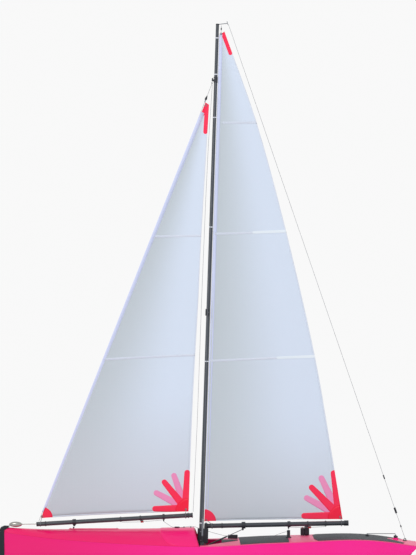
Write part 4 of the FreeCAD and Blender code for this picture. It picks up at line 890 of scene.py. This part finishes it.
for maker, name, sail, start, end in (
        (seam, "main_top_seam", MAIN, (4, 1111.5), (90, 1111.5)),
        (seam, "main_middle_seam", MAIN, (-14, 845.5), (160, 851)),
        (seam, "main_low_seam", MAIN, (-26, 541.5), (230, 552)),
        (batten, "main_middle_batten", MAIN, (76, 849), (156, 852)),
        (batten, "main_low_batten", MAIN, (134, 548.5), (226, 552.5)),
        (seam, "jib_top_seam", JIB, (-165, 839), (-44, 841)),
        (seam, "jib_low_seam", JIB, (-285, 545), (-60, 556))):
    maker(name, sail, start, end)
print("seams and battens made")

# %% [markdown]
# The hems along the leech and the foot are narrow folds of the same film. They are strips that follow the
# sail's own edge, so they are written in (u, v) and not as straight lines.

# %% Hems and luff bands


def edge_band(name, sail, along, width, thickness, material, steps=90):
    """A band of even width, in mm, inside one edge: luff, leech or foot."""
    places = []
    for i in range(steps + 1):
        share = i / steps
        if along == "foot":
            rise = sail.chord(1)[1].z - sail.chord(0)[1].z
            places += [(0.05 + 0.93 * share, width * MM / rise * j / 2) for j in range(3)]
        else:
            front, back = sail.chord(share)
            part = min(width * MM / (back - front).length, 0.9)
            places += [(part * j / 2 if along == "luff" else 1 - part * j / 2, share) for j in range(3)]
    sail.lay(name, places, 3, thickness * MM, material)


for name, sail, along, width, thickness, material in (
        ("main_luff_band", MAIN, "luff", 8.5, 0.5, LUFF_BAND),
        ("main_leech_hem", MAIN, "leech", 2.6, 0.42, SEAM_FILM),
        ("main_foot_hem", MAIN, "foot", 3.0, 0.42, SEAM_FILM),
        ("jib_leech_hem", JIB, "leech", 2.2, 0.42, SEAM_FILM),
        ("jib_foot_hem", JIB, "foot", 2.6, 0.42, SEAM_FILM)):
    edge_band(name, sail, along, width, thickness, material)


def stay_pocket(name, low, high, material, steps=60):
    """A sleeve that goes round the stay and closes on the jib's luff."""
    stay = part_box("jib_stay")
    foot = Vector((-434.9, 0, 158.4)) * MM
    top = Vector((stay[1].x, 0, stay[1].z))
    way = (top - foot).normalized()
    aft = Vector((way.z, 0, -way.x))
    radius, reach = 1.25 * MM, 8.2 * MM
    angles = [math.radians(15 * i - 90) for i in range(13)]
    section = [(radius * -math.cos(a), radius * math.sin(a)) for a in angles]
    section = [(0.0, radius)] + section[::-1][1:-1] + [(0.0, -radius)]
    section = [(reach, 0.3 * MM)] + section + [(reach, -0.3 * MM)]
    points = []
    for i in range(steps + 1):
        share = low + (high - low) * i / steps
        luff = JIB.chord(share)[0]
        line = foot + way * (luff - foot).dot(way)
        inner = JIB.at(min(reach / (JIB.chord(share)[1] - luff).length, 0.6), share)
        for back, side in section:
            lean = inner.y * back / reach
            points.append(line + aft * back + Vector((0, side + lean, 0)))
    columns = len(section)
    faces = grid_faces(steps + 1, columns, closed=True)
    faces += [tuple(range(columns)), tuple(range(steps * columns, (steps + 1) * columns))]
    return new_piece(name, points, faces, material, JIB.body)


JIB.sewn.append(stay_pocket("jib_luff_pocket", 0.012, 0.986, LUFF_BAND))
print("bands and hems made")

# %% [markdown]
# Every corner has a pressed metal eyelet. It is a turned piece, so its half profile is spun about an axis
# through the cloth.

# %% Turned pieces and eyelets


def turned(name, profile, place, axis, material, body, steps=28):
    """Spins a profile of (radius, height) in mm about an axis through a place."""
    turn = Vector((0, 0, 1)).rotation_difference(Vector(axis).normalized()).to_matrix()
    points = []
    for i in range(steps):
        angle = 2 * math.pi * i / steps
        for radius, height in profile:
            spun = Vector((radius * math.cos(angle), radius * math.sin(angle), height)) * MM
            points.append(Vector(place) + turn @ spun)
    rows = len(profile)
    faces = []
    for i in range(steps):
        for j in range(rows - 1):
            a, b = i * rows + j, (i + 1) % steps * rows + j
            faces.append((a, b, b + 1, a + 1))
    return new_piece(name, points, faces, material, body)


def ring_profile(inner, outer, half, steps=10):
    """A rounded ring's section, closed on itself."""
    middle, wide = (inner + outer) / 2, (outer - inner) / 2
    return [(middle + wide * math.cos(2 * math.pi * i / steps), half * math.sin(2 * math.pi * i / steps))
            for i in range(steps + 1)]


EYELETS = {"main_clew_eyelet": (MAIN, 286.0, 168.6), "main_tack_eyelet": (MAIN, -36.0, 161.5),
           "main_head_eyelet": (MAIN, 0.6, 1324.5), "jib_clew_eyelet": (JIB, -82.8, 186.4),
           "jib_tack_eyelet": (JIB, -427.0, 170.0), "jib_head_eyelet": (JIB, -35.6, 1152.5)}
eyelet_places = {}
for name, (sail, x, z) in EYELETS.items():
    place = sail.at(*sail.find(x * MM, z * MM))
    eyelet_places[name] = place
    sail.sewn.append(turned(name, ring_profile(1.3, 2.9, 0.95), place, (0, 1, 0), FINISHES["wire_steel"],
                            sail.body))
print("eyelets:", len(eyelet_places))

# %% [markdown]
# Short lines tie the corners of the sails to the booms. Each loop goes through an eyelet, down both sides
# of the boom and under it. They are held at both ends, so they are simple closed curves.

# %% Corner ties
MAIN_BOOM = on_mast(55.5 * MM, 11 * MM), Vector((305.3, 0, 154.3)) * MM
JIB_BOOM = Vector((-439, 0, 151.4)) * MM, Vector((-67.5, 0, 173)) * MM
TIE_RADIUS = 0.45 * MM
BOOM_RADIUS = 5.5


def on_line(front, back, x, up=0.0):
    """The point of a boom's axis at x, or above it, in mm."""
    share = (x * MM - front.x) / (back.x - front.x)
    return front + (back - front) * share + Vector((0, 0, up * MM))


def grey_line(name, points, radius, body, closed=False):
    return line_mesh(name, points, radius, FINISHES["line_grey"], body, closed=closed)


def boom_tie(name, sail, eyelet, centre, radius):
    clear = radius + TIE_RADIUS + 0.5 * MM
    top = eyelet_places[eyelet]
    points = [top + Vector((0, -1.3 * MM, 0.6 * MM))]
    points += [centre + Vector((0, -clear * math.cos(a), -clear * math.sin(a) * 1.05))
               for a in (math.radians(30 * i - 30) for i in range(9))]
    points.append(top + Vector((0, 1.3 * MM, 0.6 * MM)))
    grey_line(name, points, TIE_RADIUS, sail.body, closed=True)


for corner, sail, boom, x, radius in (("main_clew", MAIN, MAIN_BOOM, 288.4, BOOM_RADIUS + 0.8),
                                      ("jib_clew", JIB, JIB_BOOM, -84, BOOM_RADIUS + 0.8),
                                      ("jib_tack", JIB, JIB_BOOM, -431, BOOM_RADIUS),
                                      ("main_tack", MAIN, MAIN_BOOM, -21, BOOM_RADIUS + 0.8)):
    boom_tie(corner + "_tie", sail, corner + "_eyelet", on_line(*boom, x), radius * MM)


def head_tie(name, sail, eyelet, knob):
    """A straight tie from a head's eyelet up to its hook or knob."""
    start = eyelet_places[eyelet]
    grey_line(name, [start, start.lerp(knob, 0.5), knob], TIE_RADIUS, sail.body)


def black_fitting(name, profile, place, axis, sail):
    turned(name, profile, place, axis, FINISHES["fitting_black"], sail.body)


masthead_eye = on_mast(1252 * MM, 9.4 * MM)
head_tie("main_head_tie", MAIN, "main_head_eyelet", masthead_eye)
black_fitting("main_head_hook", [(0.01, -3.2), (1.1, -2.6), (1.5, 0), (1.1, 2.6), (0.01, 3.2)],
              eyelet_places["main_head_eyelet"].lerp(masthead_eye, 0.6), (0, 0, 1), MAIN)
stay_knob = Vector((-37.1, 0, 1163.6)) * MM
head_tie("jib_head_tie", JIB, "jib_head_eyelet", stay_knob)
black_fitting("jib_head_shackle", [(0.01, 6.4), (0.9, 6.0), (1.4, 4.0), (2.6, 0.0), (2.9, -2.4),
                                   (2.0, -4.6), (0.01, -5.2)],
              stay_knob + Vector((2.4, 0, 6.2)) * MM, (0.367, 0, 0.93), JIB)
print("ties made")

# %% [markdown]
# The foot of each sail is made fuller or flatter by an outhaul: a line from the clew ring that runs under
# the boom through a red anodised bowsie, a small bead with two holes that grips the line when it is let
# go. The bowsies are turned beads, with a waist in the middle for a fingertip.

# %% Outhauls and bowsies
BOWSIE_PROFILE = [(0.01, -3.4), (1.9, -3.4), (2.5, -2.9), (2.6, -1.8), (1.9, 0.0), (2.6, 1.8), (2.5, 2.9),
                  (1.9, 3.4), (0.01, 3.4)]
BOWSIE_DROP = 8.6


def outhaul(word, sail, boom, stations, bowsie_x):
    """A line under a boom through (x, drop) stations, with its bowsie."""
    front, back = boom
    points = [on_line(front, back, x, -drop) for x, drop in stations]
    grey_line(word + "_outhaul", points, 0.4 * MM, sail.body)
    turned(word + "_bowsie_bead", BOWSIE_PROFILE, on_line(front, back, bowsie_x, -BOWSIE_DROP),
           (back - front).normalized(), BOWSIE_RED, sail.body)


outhaul("main", MAIN, MAIN_BOOM, [(166, 7.0), (189, 8.6), (212, 8.8), (232, 8.2), (251, 7.2)], 212.5)
outhaul("jib", JIB, JIB_BOOM, [(-236, 7.0), (-212, 8.2), (-188, 8.8), (-160, 8.2), (-139, 7.2)], -188)
print("outhauls made")

# %% [markdown]
# ## Control lines that cross a joint
# The two sheets are the lines that let the booms out. Each runs from its boom down to the deck, so it has
# one end on a moving boom and the other on the hull. Each is one fixed piece, baked in place, that rides
# on neither body.

# %% Sheets
SHEET_RADIUS = 0.42 * MM
MAIN_SHEET_ROUTE = [(104, 9, 118.2), (118, 6, 119.6), (136, 3, 126.5), (153, 0.6, 132.9), (161.4, 0, 133.6),
                    (162, 0, 135.6), (162, 0, 141.5)]
JIB_SHEET_ROUTE = [(-136.5, 0, 158.2), (-126, 0, 151), (-116.5, 0, 144.3), (-104, 0, 144.0),
                   (-92.5, 0, 144.0), (-78, 4, 145.6), (-64, 8.5, 145.6), (-46, 12.5, 138),
                   (-20, 23, 129), (6, 33, 121.1), (14, 34, 119.9), (29, 34, 119.9)]


def sheet_line(name, node, route):
    points = [Vector(point) * MM for point in route]
    piece = line_mesh(name, points, SHEET_RADIUS, FINISHES["line_grey"])
    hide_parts(node)
    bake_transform(piece)
    length = sum((b - a).length for a, b in zip(points, points[1:]))
    print("%s: about %.0f mm of line" % (name, length / MM))


sheet_line("mainsheet_line", "mainsheet", MAIN_SHEET_ROUTE)
sheet_line("jib_sheet_line", "jib_sheet", JIB_SHEET_ROUTE)

# %% [markdown]
# ## Hull details
# Ahead of the mast the deck is raised into a smooth cowl that keeps spray out of the well. Its edge is a
# soft step: it starts on the crown of the foredeck and sweeps down to the side of the hull. The cowl is a
# curved shell 1.3 mm proud of the deck. Its points are found by shooting rays at the frame's own
# foredeck, so that it follows that surface exactly.

# %% Cowl ahead of the mast


def surface_of(node):
    """A search tree over the faces of a CAD node."""
    mesh = frame["nodes"][node].data
    return BVHTree.FromPolygons([vertex.co.copy() for vertex in mesh.vertices],
                                [tuple(face.vertices) for face in mesh.polygons])


COWL_EDGE = [(0.0, -147), (0.36, -145.5), (0.6, -142), (0.78, -136), (0.89, -128), (0.95, -119),
             (0.98, -109), (1.0, -97)]
COWL_PROUD = 1.3 * MM
DOWN = Vector((0, 0, -1))
ABOVE_DECK = 400
WELL_X = -70
WELL_EDGE_X, WELL_EDGE_Z = -65.6, 145
WELL_RUN, WELL_FALL = 13.5, 41


def cowl_front(across):
    """Where the cowl's edge lies, from the centreline (0) out to the side of the deck (1), in mm."""
    for (a0, x0), (a1, x1) in zip(COWL_EDGE, COWL_EDGE[1:]):
        if across <= a1:
            return x0 + (x1 - x0) * (across - a0) / (a1 - a0)
    return COWL_EDGE[-1][1]


def deck_half(deck, x):
    """Half the foredeck's breadth at one station, found by halving the gap between a hit and a miss."""
    inside, outside = 60.0, 95.0
    while outside - inside > 0.05:
        middle = (inside + outside) / 2
        if deck.ray_cast(Vector((x, middle, ABOVE_DECK)) * MM, DOWN)[0] is None:
            outside = middle
        else:
            inside = middle
    return inside - 0.4


def cowl_grid(steps=30, columns=61):
    """Points and normals on the foredeck under the cowl, from its edge back to the well."""
    deck = surface_of("foredeck")
    at_well = deck_half(deck, WELL_X)
    rows = []
    for i in range(steps + 1):
        row = []
        for j in range(columns):
            across = math.sin(math.pi / 2 * (2 * j / (columns - 1) - 1))
            front = cowl_front(abs(across))
            over = Vector((WELL_X, at_well * across, ABOVE_DECK)) * MM
            height = deck.ray_cast(over, DOWN)[0].z / MM
            back = WELL_EDGE_X + (WELL_EDGE_Z - height) * WELL_RUN / WELL_FALL
            x = front + (back - front) * i / steps
            over = Vector((x, deck_half(deck, x) * across, ABOVE_DECK)) * MM
            spot, normal, _, _ = deck.ray_cast(over, DOWN)
            row.append((spot, normal if normal.z > 0 else -normal))
        rows.append(row)
    return rows


def make_cowl():
    rows = cowl_grid()
    columns = len(rows[0])
    outer, inner = [], []
    for i, row in enumerate(rows):
        for j, (spot, normal) in enumerate(row):
            edge = min(i / 2, min(j, columns - 1 - j) / 2, 1.0)
            outer.append(spot + normal * (COWL_PROUD * math.sin(math.pi / 2 * edge) + 0.05 * MM))
            inner.append(spot - normal * 0.3 * MM)
    print("cowl: %d rows of %d points" % (len(rows), columns))
    return shell("foredeck_cowl", outer, inner, columns, COWL_PINK_PAINTED_LIGHT, "hull")


make_cowl()

# %% [markdown]
# Small hex-socket screws hold the fittings. One function makes a screw: a domed head with a round
# recess, on a thin washer. Its seat is found by a ray onto the fitting, so that it always touches it.

# %% Screws
SCREW_HEAD = [(0.01, 0.5), (0.52, 0.5), (0.58, 1.15), (0.8, 1.2), (1.0, 0.95), (1.06, 0.5), (1.06, 0.12),
              (1.4, 0.12), (1.42, -0.35), (0.01, -0.35)]


def screws(name, node, places, way=(0, 0, -1), scale=1.0):
    """Screws seated on a node of the hull. Places are in mm outside it, and way points at it."""
    skin = surface_of(node)
    way = Vector(way)
    profile = [(radius * scale, height * scale) for radius, height in SCREW_HEAD]
    for i, place in enumerate(places):
        seat = skin.ray_cast(Vector(place) * MM, way)[0]
        if seat is None:
            print("no seat for", name, i)
            continue
        turned("%s_%d" % (name, i + 1), profile, seat, -way, FINISHES["wire_steel"], "hull", 18)


def beside(node, shares, side):
    """Points beside a node at (along, up) shares of its box."""
    low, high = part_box(node)
    return [((low.x + (high.x - low.x) * along) / MM, side * 200, (low.z + (high.z - low.z) * up) / MM)
            for along, up in shares]


def above(node, shares):
    """Points above a node at (along, across) shares of its box."""
    low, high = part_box(node)
    return [((low.x + (high.x - low.x) * along) / MM, (low.y + (high.y - low.y) * across) / MM,
             ABOVE_DECK) for along, across in shares]


for side, word in ((-1, "port"), (1, "starboard")):
    screws("gooseneck_screw_" + word, "gooseneck_bracket",
           beside("gooseneck_bracket", [(0.32, 0.2), (0.32, 0.8)], side), (0, -side, 0), 1.2)
screws("bow_plate_screw", "jib_plate", above("jib_plate", [(0.03, 0.5), (0.97, 0.5)]))
screws("post_screw", "mainsheet_post", [(157.2, 0, 200), (166.8, 0, 200)], scale=0.7)
screws("switch_screw", "switch_housing", above("switch_housing", [(0.72, 0.16), (0.72, 0.84)]), scale=0.8)
screws("winch_screw", "sail_winch",
       above("sail_winch", [(0.05, 0.2), (0.05, 0.8), (0.95, 0.2), (0.95, 0.8)]), scale=1.2)
print("screws made")

# %% [markdown]
# The switch has a small red light beside its button: a clear dome over a lamp, so it glows a little by
# itself.

# %% Switch light


def light_finish():
    made = Finish("switch_light_red", (255, 40, 40), (230, 20, 24), gloss=0.15, bump=0.0,
                  emission_strength=0.8, coat_weight=1.0)
    made.tree.links.new(made.colour, made.shader.inputs["Emission Color"])
    return made.material


low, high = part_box("switch_housing")
light_place = Vector((low.x * 0.3 + high.x * 0.7, (low.y + high.y) / 2, high.z))
turned("switch_light", [(0.01, 1.6), (0.6, 1.5), (1.1, 1.1), (1.5, 0.3), (1.5, -0.3), (0.01, -0.3)],
       light_place, (0, 0, 1), light_finish(), "hull")

# %% [markdown]
# The cut area of each sail is worked out once more here, and the result is not kept. Both sails are
# stretched between a spar or stay and their boom.

cut_area(MAIN)
cut_area(JIB)

# %% [markdown]
# The floor is a plain pale disc just under the ballast bulb, wide enough for every view and small enough
# that its far edge stays below the picture.

# %% Floor
FLOOR_RADIUS = 2.6


def studio_floor(count=96):
    level = cad_box[0].z - 1 * MM
    points = [Vector((0, 0, level))]
    for i in range(count):
        angle = 2 * math.pi * i / count
        points.append(Vector((FLOOR_RADIUS * math.cos(angle), FLOOR_RADIUS * math.sin(angle), level)))
    faces = [(0, 1 + i, 1 + (i + 1) % count) for i in range(count)]
    paint = Finish("floor_paint", (244, 244, 244), (240, 240, 241), drift=0.6, gloss=0.8, grain=60.0,
                   bump=0.02)
    new_piece("studio_floor", points, faces, paint.material)


studio_floor()
